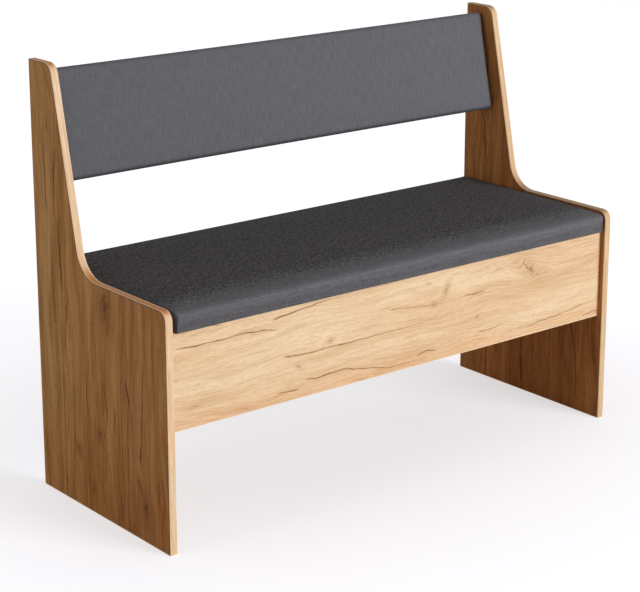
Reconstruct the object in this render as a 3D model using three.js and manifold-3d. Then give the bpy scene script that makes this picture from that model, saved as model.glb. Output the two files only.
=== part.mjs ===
import * as THREE from 'three';
import { mergeVertices } from 'three/addons/utils/BufferGeometryUtils.js';
import Module from 'manifold-3d';

// A straight bench. Two side panels carry a storage box, a padded seat that lifts as the box's lid,
// and a padded backrest that leans back. Lengths are in millimetres. X runs along the bench, Y from
// front to back and Z up. Pieces are placed from the middle of the length, from the front edges of
// the side panels and from the floor.

// Whole bench
const overallLength = 1145;
const overallHeight = 860;
const panelDepth = 440;
const boardThickness = 16;

// Outline of a side panel
const armHeight = 466;
const armFrontRadius = 20;
const armBackRadius = 62;
const backTopWidth = 76;
const backTopRadius = 25;
const backLean = THREE.MathUtils.degToRad(12);
const bandThickness = 2;

// Storage box
const boxSetback = 12;
const apronBottom = 232;
const apronHeight = 190;
const floorRecess = 10;

// Padded seat
const seatRestGap = 0.3;
const seatNose = 3;
const seatRearSetback = 3;
const seatSideGap = 4;
const seatEdgeHeight = 42;
const seatCrown = 4;
const seatRoll = 9;
const seatCorner = 7;
const seatSideDraw = 1.5;
const seatCoverWrap = 5;

// Backrest, measured down the slope of the side panels from their top
const backrestTopDrop = 6;
const backrestHeight = 220;
const backrestSetback = 25;
const backrestFoam = 28;
const backrestSideGap = 3;
const backrestCrown = 3;
const backrestRoll = 14;
const backrestCorner = 16;
const backrestSideDraw = 1;
const backrestCoverWrap = 5;

// Cam fittings at the ends of the boards
const camRadius = 7.5;
const camSetback = 24;
const camFloor = 3.2;
const camEdgeDistance = 32;
const camSlotLength = 9;
const camSlotWidth = 1.6;
const camSlotDepth = 2.2;
const boltThreadRadius = 2.5;
const boltThreadLength = 11;
const boltCollarRadius = 3.4;
const boltCollarLength = 2;
const boltShaftRadius = 2;
const boltHeadRadius = 3;
const boltHeadLength = 5;
const boltBoreRadius = 4;

// Butt hinges along the rear lower edge of the seat
const hingeLength = 60;
const hingeInset = 170;
const hingeLeafWidth = 25;
const hingeLeafThickness = 1.5;
const hingeKnuckleRadius = 3;
const hingePinRadius = 1.5;
const hingeBoreRadius = 1.6;
const hingePinHeadRadius = 2.4;
const hingePinHeadLength = 0.8;
const hingeKnuckleGap = 0.3;
const hingeScrewOffset = 15;
const hingeScrewSpacing = 36;
const screwHeadRadius = 3.4;
const screwHeadLength = 1.5;
const screwShankRadius = 1.75;
const screwLength = 14;
const screwTipLength = 3;

// Clearances and cuts
const fitGap = 0.3;
const cutOverrun = 5;

// Facets
const arcSteps = 14;
const rollSteps = 5;
const crownSteps = 12;
const spanSteps = 14;
const camSides = 14;
const boltSides = 8;
const screwSides = 10;
const knuckleSides = 16;

// Sizes that follow from the ones above
const innerLength = overallLength - 2 * boardThickness;
const boardLength = innerLength - 2 * fitGap;
const apronBack = boxSetback + boardThickness;
const railBack = panelDepth - boxSetback;
const railFront = railBack - boardThickness;
const floorBottom = apronBottom + floorRecess;
const floorTop = floorBottom + boardThickness;
const seatUnderside = apronBottom + apronHeight + seatRestGap;
const seatLength = innerLength - 2 * seatSideGap;
const seatDepth = panelDepth + seatNose - seatRearSetback;
const hingeAxisY = railBack + hingeKnuckleRadius;
const hingeAxisZ = seatUnderside - hingeKnuckleRadius;
const railTop = hingeAxisZ - fitGap;
const camDepth = boardThickness - camFloor - fitGap;
const backrestLength = innerLength - 2 * backrestSideGap;
const backrestThickness = backrestFoam + boardThickness;
const backrestBoardHeight = backrestHeight - 2 * backrestCoverWrap;

const finishes = {
  oakBoard: { color: 0xa9784a, roughness: 0.55, metalness: 0 },
  oakBand: { color: 0xf0d2a8, roughness: 0.5, metalness: 0 },
  chipboard: { color: 0xc9b48c, roughness: 0.85, metalness: 0 },
  seatCloth: { color: 0x434145, roughness: 0.95, metalness: 0 },
  backrestCloth: { color: 0x626167, roughness: 0.95, metalness: 0 },
  zinc: { color: 0xb9bcc0, roughness: 0.4, metalness: 0.9 },
  dieCast: { color: 0x9a9a98, roughness: 0.5, metalness: 0.85 },
};

const sides = [
  { name: 'left', sign: -1 },
  { name: 'right', sign: 1 },
];

const wasm = await Module();
wasm.setup();

// Solids

function toManifold(geometry) {
  const bare = geometry.clone();
  bare.deleteAttribute('normal');
  bare.deleteAttribute('uv');
  const merged = mergeVertices(bare);
  const vertProperties = new Float32Array(merged.attributes.position.array);
  const triVerts = new Uint32Array(merged.index.array);
  return new wasm.Manifold(new wasm.Mesh({ numProp: 3, vertProperties, triVerts }));
}

function toGeometry(solid) {
  const mesh = solid.getMesh();
  const indexed = new THREE.BufferGeometry();
  indexed.setAttribute('position', new THREE.BufferAttribute(mesh.vertProperties, mesh.numProp));
  indexed.setIndex(new THREE.BufferAttribute(mesh.triVerts, 1));
  const geometry = indexed.toNonIndexed();
  geometry.computeVertexNormals();
  return geometry;
}

function cut(geometry, cutters) {
  let solid = toManifold(geometry);
  for (const cutter of cutters) {
    solid = solid.subtract(toManifold(cutter));
  }
  return toGeometry(solid);
}

function join(geometries) {
  const [first, ...others] = geometries.map(toManifold);
  let solid = first;
  for (const other of others) {
    solid = solid.add(other);
  }
  return toGeometry(solid);
}

function block([x0, x1], [y0, y1], [z0, z1]) {
  const geometry = new THREE.BoxGeometry(x1 - x0, y1 - y0, z1 - z0);
  return geometry.translate((x0 + x1) / 2, (y0 + y1) / 2, (z0 + z1) / 2);
}

// A round bar from one x to another, about the line through the given y and z.
function barAlongX(radius, [x0, x1], y, z, barSides) {
  const geometry = new THREE.CylinderGeometry(radius, radius, x1 - x0, barSides);
  return geometry.rotateZ(-Math.PI / 2).translate((x0 + x1) / 2, y, z);
}

// A round bar from one z to another, about the line through the given x and y.
function barAlongZ(radius, x, y, [z0, z1], barSides) {
  const geometry = new THREE.CylinderGeometry(radius, radius, z1 - z0, barSides);
  return geometry.rotateX(Math.PI / 2).translate(x, y, (z0 + z1) / 2);
}

// A turned piece along +Y from a profile of [radius, place along the axis].
function turned(profile, turnedSides) {
  const points = profile.map(([radius, along]) => new THREE.Vector2(radius, along));
  return new THREE.LatheGeometry(points, turnedSides);
}

function piece(name, geometry, finish) {
  const mesh = new THREE.Mesh(geometry, new THREE.MeshStandardMaterial(finish));
  mesh.name = name;
  return mesh;
}

// Side panels and their edge bands

// Depth of the sloping front edge of the back support at a height.
function slopeDepth(height) {
  return panelDepth - backTopWidth - (overallHeight - height) * Math.tan(backLean);
}

// Points on a round stretch of the edge with their outward normals. The angles are measured in the
// plane of Y and Z, from Y; on a hollow stretch the outward normal points to the centre.
function edgeArc(centreY, centreZ, radius, from, to, hollow) {
  const points = [];
  for (let step = 0; step <= arcSteps; step += 1) {
    const angle = from + ((to - from) * step) / arcSteps;
    const spoke = new THREE.Vector2(Math.cos(angle), Math.sin(angle));
    const at = new THREE.Vector2(centreY, centreZ).addScaledVector(spoke, radius);
    points.push({ at, normal: spoke.multiplyScalar(hollow ? -1 : 1) });
  }
  return points;
}

// The banded edge from the floor up the front, over the arm and up the slope to the rear top corner.
function bandedEdge() {
  const hollowHeight = armHeight + armBackRadius;
  const hollowDepth = slopeDepth(hollowHeight) - armBackRadius / Math.cos(backLean);
  const topCentre = overallHeight - backTopRadius;
  const topDepth = slopeDepth(topCentre) + backTopRadius / Math.cos(backLean);
  return [
    { at: new THREE.Vector2(0, 0), normal: new THREE.Vector2(-1, 0) },
    ...edgeArc(armFrontRadius, armHeight - armFrontRadius, armFrontRadius, Math.PI, Math.PI / 2, false),
    ...edgeArc(hollowDepth, hollowHeight, armBackRadius, -Math.PI / 2, -backLean, true),
    ...edgeArc(topDepth, topCentre, backTopRadius, Math.PI - backLean, Math.PI / 2, false),
    { at: new THREE.Vector2(panelDepth, overallHeight), normal: new THREE.Vector2(0, 1) },
  ];
}

// A flat outline in the plane of Y and Z, carried along X through one board thickness.
function panelSheet(outline, sign) {
  const settings = { depth: boardThickness, bevelEnabled: false };
  const geometry = new THREE.ExtrudeGeometry(new THREE.Shape(outline), settings);
  const turn = new THREE.Matrix4().makeBasis(
    new THREE.Vector3(0, 1, 0),
    new THREE.Vector3(0, 0, 1),
    new THREE.Vector3(1, 0, 0),
  );
  const start = sign < 0 ? -overallLength / 2 : overallLength / 2 - boardThickness;
  return geometry.applyMatrix4(turn).translate(start, 0, 0);
}

function addSidePanels(bench, boltSeats) {
  const edge = bandedEdge();
  const outer = edge.map(({ at }) => at);
  const inner = edge.map(({ at, normal }) => at.clone().addScaledVector(normal, -bandThickness));
  const core = [...inner, new THREE.Vector2(panelDepth, 0)];
  const band = [...outer, ...inner.slice().reverse()];
  const bore = boltThreadRadius + fitGap;
  const boreDepth = boltThreadLength + fitGap;
  for (const side of sides) {
    const face = (side.sign * innerLength) / 2;
    const end = face + side.sign * boreDepth;
    const start = face - side.sign * cutOverrun;
    const span = [Math.min(start, end), Math.max(start, end)];
    const seats = boltSeats.filter((seat) => seat.sign === side.sign);
    const bores = seats.map((seat) => barAlongX(bore, span, seat.y, seat.z, boltSides));
    const panel = cut(panelSheet(core, side.sign), bores);
    bench.add(piece(`${side.name}_side_panel`, panel, finishes.oakBoard));
    bench.add(piece(`${side.name}_edge_band`, panelSheet(band, side.sign), finishes.oakBand));
  }
}

// Boards with cam fittings. A board lies in a frame of its own: x along it, y across its width and
// z through its thickness, from the face that its cams open on.

function boardFrame(tilt, y, z) {
  const frame = new THREE.Group();
  frame.rotation.x = tilt;
  frame.position.set(0, y, z);
  frame.updateMatrixWorld();
  return frame;
}

function camBody() {
  const cam = barAlongZ(camRadius, 0, 0, [0, camDepth], camSides);
  const slot = [-camSlotLength / 2, camSlotLength / 2];
  const width = [-camSlotWidth / 2, camSlotWidth / 2];
  const depth = [-cutOverrun, camSlotDepth];
  const reach = [-(camRadius + cutOverrun), boltHeadLength / 2 + fitGap];
  const mouth = barAlongX(boltHeadRadius + fitGap, reach, 0, boardThickness / 2, boltSides);
  return cut(cam, [block(slot, width, depth), block(width, slot, depth), mouth]);
}

// The bolt's collar stands on the panel's face at zero, and its head ends in the middle of the cam.
function boltBody() {
  const headEnd = camSetback + boltHeadLength / 2;
  const headStart = headEnd - boltHeadLength;
  return turned([
    [0, -boltThreadLength],
    [boltThreadRadius, -boltThreadLength],
    [boltThreadRadius, 0],
    [boltCollarRadius, 0],
    [boltCollarRadius, boltCollarLength],
    [boltShaftRadius, boltCollarLength],
    [boltShaftRadius, headStart],
    [boltHeadRadius, headStart],
    [boltHeadRadius, headEnd],
    [0, headEnd],
  ], boltSides);
}

function camCutters(sign, row) {
  const face = (sign * innerLength) / 2;
  const centre = face - sign * camSetback;
  const boreEnds = [centre, face + sign * cutOverrun].sort((a, b) => a - b);
  return [
    barAlongZ(camRadius + fitGap, centre, row.y, [-cutOverrun, camDepth + fitGap], camSides),
    barAlongX(boltBoreRadius, boreEnds, row.y, boardThickness / 2, boltSides),
  ];
}

function addCamFittings(frame, prefix, rows, boltSeats) {
  for (const side of sides) {
    for (const row of rows) {
      const face = (side.sign * innerLength) / 2;
      const place = `${side.name}_${row.name}`;
      const cam = piece(`${prefix}_cam_${place}`, camBody(), finishes.dieCast);
      cam.position.set(face - side.sign * camSetback, row.y, 0);
      cam.rotation.z = side.sign > 0 ? Math.PI : 0;
      const bolt = piece(`${prefix}_bolt_${place}`, boltBody(), finishes.zinc);
      bolt.position.set(face, row.y, boardThickness / 2);
      bolt.rotation.z = (side.sign * Math.PI) / 2;
      frame.add(cam, bolt);
      const seat = bolt.position.clone().applyMatrix4(frame.matrixWorld);
      boltSeats.push({ sign: side.sign, y: seat.y, z: seat.z });
    }
  }
}

function addBoard(frame, name, prefix, width, rows, boltSeats, moreCutters = []) {
  const board = block([-boardLength / 2, boardLength / 2], [0, width], [0, boardThickness]);
  const cutters = sides.flatMap((side) => rows.flatMap((row) => camCutters(side.sign, row)));
  const geometry = cut(board, [...cutters, ...moreCutters]);
  frame.add(piece(name, geometry, finishes.oakBoard));
  addCamFittings(frame, prefix, rows, boltSeats);
}

// Storage box

// The apron's frame stands at its rear lower edge, so that y is up and z points to the front.
function makeApron(boltSeats) {
  const frame = boardFrame(Math.PI / 2, apronBack, apronBottom);
  const rows = [
    { name: 'upper', y: apronHeight - camEdgeDistance },
    { name: 'lower', y: floorTop - apronBottom + camEdgeDistance },
  ];
  addBoard(frame, 'front_apron', 'apron', apronHeight, rows, boltSeats);
  return frame;
}

// The rail's frame stands at its front upper edge, so that y is down and z points to the rear.
function makeRail(boltSeats) {
  const frame = boardFrame(-Math.PI / 2, railFront, railTop);
  const height = railTop - apronBottom;
  const rows = [
    { name: 'upper', y: camEdgeDistance },
    { name: 'lower', y: railTop - floorTop - camEdgeDistance },
  ];
  const toFrame = frame.matrixWorld.clone().invert();
  const pilots = hingePlaces().flatMap(({ x }) => hingeScrewPlaces(x).map((screwX) => {
    const pilot = screwPilot();
    pilot.rotateX(Math.PI);
    pilot.translate(screwX, railBack, hingeAxisZ - hingeScrewOffset);
    return pilot.applyMatrix4(toFrame);
  }));
  addBoard(frame, 'rear_rail', 'rail', height, rows, boltSeats, pilots);
  return frame;
}

// The floor lies between apron and rail with its cams on the underside.
function makeBoxFloor(boltSeats) {
  const front = apronBack + fitGap;
  const depth = railFront - fitGap - front;
  const frame = boardFrame(0, front, floorBottom);
  const rows = [
    { name: 'front', y: camEdgeDistance },
    { name: 'rear', y: depth - camEdgeDistance },
  ];
  addBoard(frame, 'box_floor', 'floor', depth, rows, boltSeats);
  return frame;
}

// Stuffed forms

// One section of a stuffed form, from the lower front corner over the top to the lower rear one.
// The inset runs from 1 at the very end of the form to 0 where its full section starts.
function paddedSection(form, x, inset) {
  const alongShare = (2 * x) / form.length;
  const drawn = form.draw * (1 - alongShare ** 2);
  const front = form.corner * inset + drawn;
  const back = form.width - front;
  const top = form.thickness - form.roll * inset;
  const crown = form.crown * (1 - alongShare ** 4) * (1 - inset);
  const rise = (y) => crown * (1 - ((2 * (y - front)) / (back - front) - 1) ** 2);
  const points = [[front, 0]];
  for (let step = 0; step <= rollSteps; step += 1) {
    const turn = ((Math.PI / 2) * step) / rollSteps;
    const y = front + form.roll * (1 - Math.cos(turn));
    points.push([y, top - form.roll * (1 - Math.sin(turn)) + rise(y)]);
  }
  for (let step = 1; step < crownSteps; step += 1) {
    const y = front + form.roll + ((back - front - 2 * form.roll) * step) / crownSteps;
    points.push([y, top + rise(y)]);
  }
  const mirrored = points.slice(0, rollSteps + 2).reverse();
  return [...points, ...mirrored.map(([y, z]) => [front + back - y, z])];
}

// Stations along a stuffed form: its rolled end, the span between, and the other rolled end.
function paddedStations(form) {
  const end = [];
  for (let step = 0; step <= rollSteps; step += 1) {
    const turn = ((Math.PI / 2) * step) / rollSteps;
    end.push({ x: form.length / 2 - form.roll * (1 - Math.cos(turn)), inset: 1 - Math.sin(turn) });
  }
  const span = form.length - 2 * form.roll;
  const middle = [];
  for (let step = 1; step < spanSteps; step += 1) {
    middle.push({ x: span / 2 - (span * step) / spanSteps, inset: 0 });
  }
  const otherEnd = end.slice().reverse().map(({ x, inset }) => ({ x: -x, inset }));
  return [...end, ...middle, ...otherEnd];
}

// A stuffed form with a flat back at z = 0. Its ends pull in towards the middle of the width.
function paddedForm(form) {
  const positions = [];
  const index = [];
  const stations = paddedStations(form);
  const sections = stations.map(({ x, inset }) => paddedSection(form, x, inset));
  const count = sections[0].length;
  sections.forEach((section, place) => {
    const pull = (2 * form.draw) / form.length;
    for (const [y, z] of section) {
      const bow = 1 - ((2 * y) / form.width - 1) ** 2;
      positions.push(stations[place].x * (1 - pull * bow), y, z);
    }
  });
  for (let place = 0; place + 1 < sections.length; place += 1) {
    for (let point = 0; point < count; point += 1) {
      const next = (point + 1) % count;
      const [a, b] = [place * count + point, place * count + next];
      const [c, d] = [b + count, a + count];
      index.push(a, b, c, a, c, d);
    }
  }
  for (const [place, forward] of [[0, false], [sections.length - 1, true]]) {
    const middle = positions.length / 3;
    positions.push(stations[place].x, form.width / 2, (form.thickness - form.roll) / 2);
    for (let point = 0; point < count; point += 1) {
      const here = place * count + point;
      const next = place * count + ((point + 1) % count);
      index.push(middle, forward ? here : next, forward ? next : here);
    }
  }
  const geometry = new THREE.BufferGeometry();
  geometry.setAttribute('position', new THREE.Float32BufferAttribute(positions, 3));
  geometry.setIndex(index);
  return geometry;
}

// Backrest: a board between the panels and a pad over its front, top and lower edges. The frame
// stands at the board's rear lower edge, with y up the slope and z towards the sitter.
function makeBackrest(boltSeats) {
  const drop = backrestTopDrop + backrestHeight - backrestCoverWrap;
  const setback = backrestSetback + backrestThickness;
  const y = slopeDepth(overallHeight) - drop * Math.sin(backLean) + setback * Math.cos(backLean);
  const z = overallHeight - drop * Math.cos(backLean) - setback * Math.sin(backLean);
  const frame = boardFrame(Math.PI / 2 - backLean, y, z);
  const rows = [
    { name: 'upper', y: backrestBoardHeight - camEdgeDistance },
    { name: 'lower', y: camEdgeDistance },
  ];
  addBoard(frame, 'backrest_board', 'backrest', backrestBoardHeight, rows, boltSeats);
  const pad = paddedForm({
    length: backrestLength,
    width: backrestHeight,
    thickness: backrestThickness - backrestCrown,
    crown: backrestCrown,
    roll: backrestRoll,
    corner: backrestCorner,
    draw: backrestSideDraw,
  });
  const halfLength = innerLength / 2;
  const low = backrestCoverWrap - fitGap;
  const high = backrestHeight - low;
  const pocket = block([-halfLength, halfLength], [low, high], [-cutOverrun, boardThickness + fitGap]);
  const padPiece = piece('backrest_pad', cut(pad, [pocket]), finishes.backrestCloth);
  padPiece.position.y = -backrestCoverWrap;
  frame.add(padPiece);
  return frame;
}

// Padded seat: a board wrapped by a cushion. The frame stands at the cushion's front lower edge.
function makeSeat() {
  const frame = boardFrame(0, -seatNose, seatUnderside);
  const halfBoard = seatLength / 2 - seatCoverWrap;
  const boardEnds = [-halfBoard, halfBoard];
  const boardSides = [seatCoverWrap, seatDepth - seatCoverWrap];
  const pilots = hingePlaces().flatMap(({ x }) => hingeScrewPlaces(x).map((screwX) => {
    const pilot = screwPilot();
    pilot.rotateX(Math.PI / 2);
    return pilot.translate(screwX, hingeAxisY - hingeScrewOffset + seatNose, 0);
  }));
  const board = cut(block(boardEnds, boardSides, [0, boardThickness]), pilots);
  frame.add(piece('seat_board', board, finishes.chipboard));
  const cushion = paddedForm({
    length: seatLength,
    width: seatDepth,
    thickness: seatEdgeHeight,
    crown: seatCrown,
    roll: seatRoll,
    corner: seatCorner,
    draw: seatSideDraw,
  });
  const grown = ([low, high]) => [low - fitGap, high + fitGap];
  const pocket = block(grown(boardEnds), grown(boardSides), [-cutOverrun, boardThickness + fitGap]);
  frame.add(piece('seat_cushion', cut(cushion, [pocket]), finishes.seatCloth));
  return frame;
}

// Hinges. A hinge's frame has its origin on the axis, halfway along the knuckles.

function hingePlaces() {
  const x = seatLength / 2 - hingeInset;
  return sides.map(({ name, sign }) => ({ name, x: sign * x }));
}

function hingeScrewPlaces(x) {
  return [x - hingeScrewSpacing / 2, x + hingeScrewSpacing / 2];
}

// A countersunk screw along +Y, its head's face at zero.
function screwBody() {
  return turned([
    [0, 0],
    [screwHeadRadius, 0],
    [screwShankRadius, screwHeadLength],
    [screwShankRadius, screwLength - screwTipLength],
    [0, screwLength],
  ], screwSides);
}

// The hole that a screw's shank needs in a board whose face lies at zero.
function screwPilot() {
  const radius = screwShankRadius + fitGap;
  const depth = screwLength - hingeLeafThickness + fitGap;
  return turned([[0, -cutOverrun], [radius, -cutOverrun], [radius, depth], [0, depth]], screwSides);
}

// The countersunk hole in a leaf, along +Y from the side of the screw's head.
function screwCountersink() {
  const slope = (screwHeadRadius - screwShankRadius) / screwHeadLength;
  const wide = screwHeadRadius + fitGap + cutOverrun * slope;
  const narrow = screwShankRadius + fitGap;
  return turned([
    [0, -cutOverrun],
    [wide, -cutOverrun],
    [narrow, hingeLeafThickness],
    [narrow, hingeLeafThickness + cutOverrun],
    [0, hingeLeafThickness + cutOverrun],
  ], screwSides);
}

// One leaf lying in the plane of x and y, with its outer face at z = knuckle radius. Its knuckles
// take the given stretches of the axis, and its plate is cut back from the other leaf's knuckles.
function hingeLeaf(stretches) {
  const faces = [hingeKnuckleRadius - hingeLeafThickness, hingeKnuckleRadius];
  const clear = hingeKnuckleRadius + fitGap;
  const half = hingeLength / 2;
  const solids = [block([-half, half], [-hingeLeafWidth, -clear], faces)];
  for (const stretch of stretches) {
    solids.push(block(stretch, [-(clear + hingeLeafThickness), 0], faces));
    solids.push(barAlongX(hingeKnuckleRadius, stretch, 0, 0, knuckleSides));
  }
  const reach = [-(half + cutOverrun), half + cutOverrun];
  const cutters = [barAlongX(hingeBoreRadius / Math.cos(Math.PI / knuckleSides), reach, 0, 0, knuckleSides)];
  for (const x of hingeScrewPlaces(0)) {
    const countersink = screwCountersink().rotateX(Math.PI / 2);
    cutters.push(countersink.translate(x, -hingeScrewOffset, faces[0]));
  }
  return cut(join(solids), cutters);
}

// The pin passes through all knuckles and is headed at both ends.
function pinBody() {
  const shank = hingeLength / 2 + fitGap;
  const end = shank + hingePinHeadLength;
  return turned([
    [0, -end],
    [hingePinHeadRadius, -end],
    [hingePinHeadRadius, -shank],
    [hingePinRadius, -shank],
    [hingePinRadius, shank],
    [hingePinHeadRadius, shank],
    [hingePinHeadRadius, end],
    [0, end],
  ], boltSides);
}

function addHinges(bench) {
  const third = hingeLength / 6;
  const gap = hingeKnuckleGap / 2;
  const half = hingeLength / 2;
  const seatFace = seatUnderside - hingeLeafThickness;
  const railFace = railBack + hingeLeafThickness;
  for (const { name, x } of hingePlaces()) {
    const hinge = new THREE.Group();
    hinge.position.set(x, hingeAxisY, hingeAxisZ);
    const middle = [-third + gap, third - gap];
    const outer = [[-half, -third - gap], [third + gap, half]];
    const moving = piece(`${name}_hinge_moving_leaf`, hingeLeaf([middle]), finishes.zinc);
    const fixed = piece(`${name}_hinge_fixed_leaf`, hingeLeaf(outer), finishes.zinc);
    fixed.rotation.x = Math.PI / 2;
    const pin = piece(`${name}_hinge_pin`, pinBody(), finishes.zinc);
    pin.rotation.z = Math.PI / 2;
    hinge.add(moving, fixed, pin);
    bench.add(hinge);
    hingeScrewPlaces(x).forEach((screwX, place) => {
      const seatScrew = piece(`${name}_hinge_seat_screw_${place + 1}`, screwBody(), finishes.zinc);
      seatScrew.position.set(screwX, hingeAxisY - hingeScrewOffset, seatFace);
      seatScrew.rotation.x = Math.PI / 2;
      const railScrew = piece(`${name}_hinge_rail_screw_${place + 1}`, screwBody(), finishes.zinc);
      railScrew.position.set(screwX, railFace, hingeAxisZ - hingeScrewOffset);
      railScrew.rotation.x = Math.PI;
      bench.add(seatScrew, railScrew);
    });
  }
}

// The whole bench, with its origin on the floor under the middle of its outer box.
function makeBench() {
  const bench = new THREE.Group();
  const boltSeats = [];
  bench.add(makeApron(boltSeats), makeRail(boltSeats), makeBoxFloor(boltSeats));
  bench.add(makeBackrest(boltSeats), makeSeat());
  addSidePanels(bench, boltSeats);
  addHinges(bench);
  const outside = new THREE.Box3().setFromObject(bench, true);
  bench.position.y = -(outside.min.y + outside.max.y) / 2;
  return bench;
}

export default makeBench();
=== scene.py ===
"""A straight storage bench in craft oak and anthracite cloth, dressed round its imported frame.

Lengths are written in millimetres and turned to metres by MM. X runs along the bench, Y from front
to back and Z up, with the origin on the floor under the middle of the bench.
"""

import logging
import math
from dataclasses import dataclass
from enum import Enum

import bpy
import numpy as np
from mathutils import Matrix, Vector

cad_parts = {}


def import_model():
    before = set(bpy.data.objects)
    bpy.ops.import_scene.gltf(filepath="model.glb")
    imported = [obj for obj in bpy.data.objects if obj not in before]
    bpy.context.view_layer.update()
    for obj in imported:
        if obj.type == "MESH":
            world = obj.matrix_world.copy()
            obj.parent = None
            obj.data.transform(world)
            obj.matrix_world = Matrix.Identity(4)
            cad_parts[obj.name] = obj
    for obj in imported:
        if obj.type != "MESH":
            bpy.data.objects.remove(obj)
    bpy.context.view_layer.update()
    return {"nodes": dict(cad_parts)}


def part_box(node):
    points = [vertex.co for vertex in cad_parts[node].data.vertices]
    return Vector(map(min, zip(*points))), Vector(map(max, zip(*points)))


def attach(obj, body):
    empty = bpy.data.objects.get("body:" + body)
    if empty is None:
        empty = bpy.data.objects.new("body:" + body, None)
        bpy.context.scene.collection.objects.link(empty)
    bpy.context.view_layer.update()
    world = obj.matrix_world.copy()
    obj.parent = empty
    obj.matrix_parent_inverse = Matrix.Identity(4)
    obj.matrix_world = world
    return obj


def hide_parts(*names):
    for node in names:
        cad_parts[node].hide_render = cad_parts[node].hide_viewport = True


LOG = logging.getLogger("bench")
MM = 0.001
TINY = 1e-9
WEAVE_MAP = "weave"
FALLING = {"To Min": 1.0, "To Max": 0.0}
SMOOTH = {"interpolation_type": "SMOOTHSTEP"}
BACK_LEAN = math.radians(12.0)
Node = bpy.types.Node
Tree = bpy.types.NodeTree
Material = bpy.types.Material
Piece = bpy.types.Object
Pair = tuple[float, float]
Plug = bpy.types.NodeSocket | Node | float | tuple | str


# Shader helpers


def linear(tone: str) -> tuple[float, float, float, float]:
    """Turns an sRGB hex colour to linear light.

    Each channel c becomes c / 12.92 up to 0.04045, and ((c + 0.055) / 1.055) ** 2.4 above it.

    Args:
        tone: a colour such as "#e6bf94".

    Returns:
        Red, green and blue in linear light, with an alpha of 1.
    """
    channels = np.array([int(tone[place:place + 2], 16) for place in (1, 3, 5)]) / 255.0
    lifted = ((channels + 0.055) / 1.055) ** 2.4
    return (*np.where(channels <= 0.04045, channels / 12.92, lifted).tolist(), 1.0)


def add(tree: Tree, kind: str, plugs: dict[str | int, Plug] | None = None,
        **settings: object) -> Node:
    """Adds one shader node with its settings and links.

    Args:
        tree: the node tree that gets the node.
        kind: the node's type without its common prefix.
        plugs: what each input takes, by the input's name or number: a node gives its first live
            output, a socket is linked as it is, a hex colour is turned to linear light, and any
            other value is set.
        settings: the node's own properties.

    Returns:
        The new node.
    """
    node = tree.nodes.new("ShaderNode" + kind)
    for name, value in settings.items():
        setattr(node, name, value)
    for name, value in (plugs or {}).items():
        live = [socket for socket in node.inputs if socket.enabled and socket.name == name]
        target = node.inputs[name] if isinstance(name, int) else live[0]
        if isinstance(value, Node):
            value = next(socket for socket in value.outputs if socket.enabled)
        if isinstance(value, bpy.types.NodeSocket):
            tree.links.new(value, target)
        else:
            target.default_value = linear(value) if isinstance(value, str) else value
    return node


def between(span: Pair, unit: float = 1.0) -> dict[str, float]:
    """The inputs that make a layer set in from the first value of a span to its last."""
    return {"From Min": span[0] * unit, "From Max": span[1] * unit}


def distance(tree: Tree, value: Plug, line: Plug) -> Node:
    """How far a value lies from a line: |value - line|."""
    off = add(tree, "Math", {0: value, 1: line}, operation="SUBTRACT")
    return add(tree, "Math", {0: off}, operation="ABSOLUTE")


def swayed(tree: Tree, value: Plug, noise: Plug, reach: float) -> Node:
    """A value that a noise sways to both sides: value + reach * (noise - 0.5)."""
    off = add(tree, "Math", {0: noise, 1: -0.5}, operation="ADD")
    return add(tree, "Math", {0: off, 1: reach, 2: value}, operation="MULTIPLY_ADD")


def stretched(tree: Tree, place: Plug, size: tuple[float, float, float],
              **inputs: float) -> Node:
    """Noise whose grains have a size of their own along each axis.

    Args:
        tree: the finish's node tree.
        place: the coordinates that the noise reads.
        size: a grain's size along each axis, in the coordinates' unit.
        inputs: the noise's detail, roughness and distortion.

    Returns:
        The noise.
    """
    scaled = add(tree, "Mapping", {"Vector": place, "Scale": size}, vector_type="TEXTURE")
    return add(tree, "TexNoise", {"Vector": scaled, "Scale": 1.0, **inputs})


def painted(tree: Tree, colour: Plug, layers: tuple[tuple[Plug, Plug], ...],
            blend: str = "MIX") -> Plug:
    """Lays one tone after another over a colour.

    Args:
        tree: the finish's node tree.
        colour: the colour under all layers.
        layers: how strongly each layer covers, and its tone.
        blend: how a tone is laid on.

    Returns:
        The colour on top.
    """
    for factor, tone in layers:
        colour = add(tree, "Mix", {"Factor": factor, "A": colour, "B": tone},
                     data_type="RGBA", blend_type=blend)
    return colour


# Finishes


@dataclass(frozen=True)
class Finish:
    """What all finishes share: a name, and a material round the shader that each one builds."""

    name: str

    def shader(self, tree: Tree) -> Node:
        """Adds the finish's nodes and gives the last one."""
        raise NotImplementedError

    def material(self) -> Material:
        """Makes the material.

        Returns:
            A new material, whose surface is the finish's shader.
        """
        material = bpy.data.materials.new(self.name)
        material.use_nodes = True
        tree = material.node_tree
        tree.nodes.clear()
        add(tree, "OutputMaterial", {"Surface": self.shader(tree)})
        return material


class Grain(Enum):
    """Which axes the wood grain of a board runs along, across and into."""

    ALONG_AND_UPRIGHT = ("X", "Z", "Y")
    ALONG_AND_FLAT = ("X", "Y", "Z")
    UPRIGHT = ("Z", "Y", "X")


@dataclass(frozen=True)
class Knot:
    """A knot or a smudge in the printed oak, in millimetres of the board's own plane."""

    along: float
    across: float
    half_length: float
    half_width: float
    lean: float = 0.0
    depth: float = 1.0


Crack = tuple[tuple[float, float, float], ...]


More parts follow.
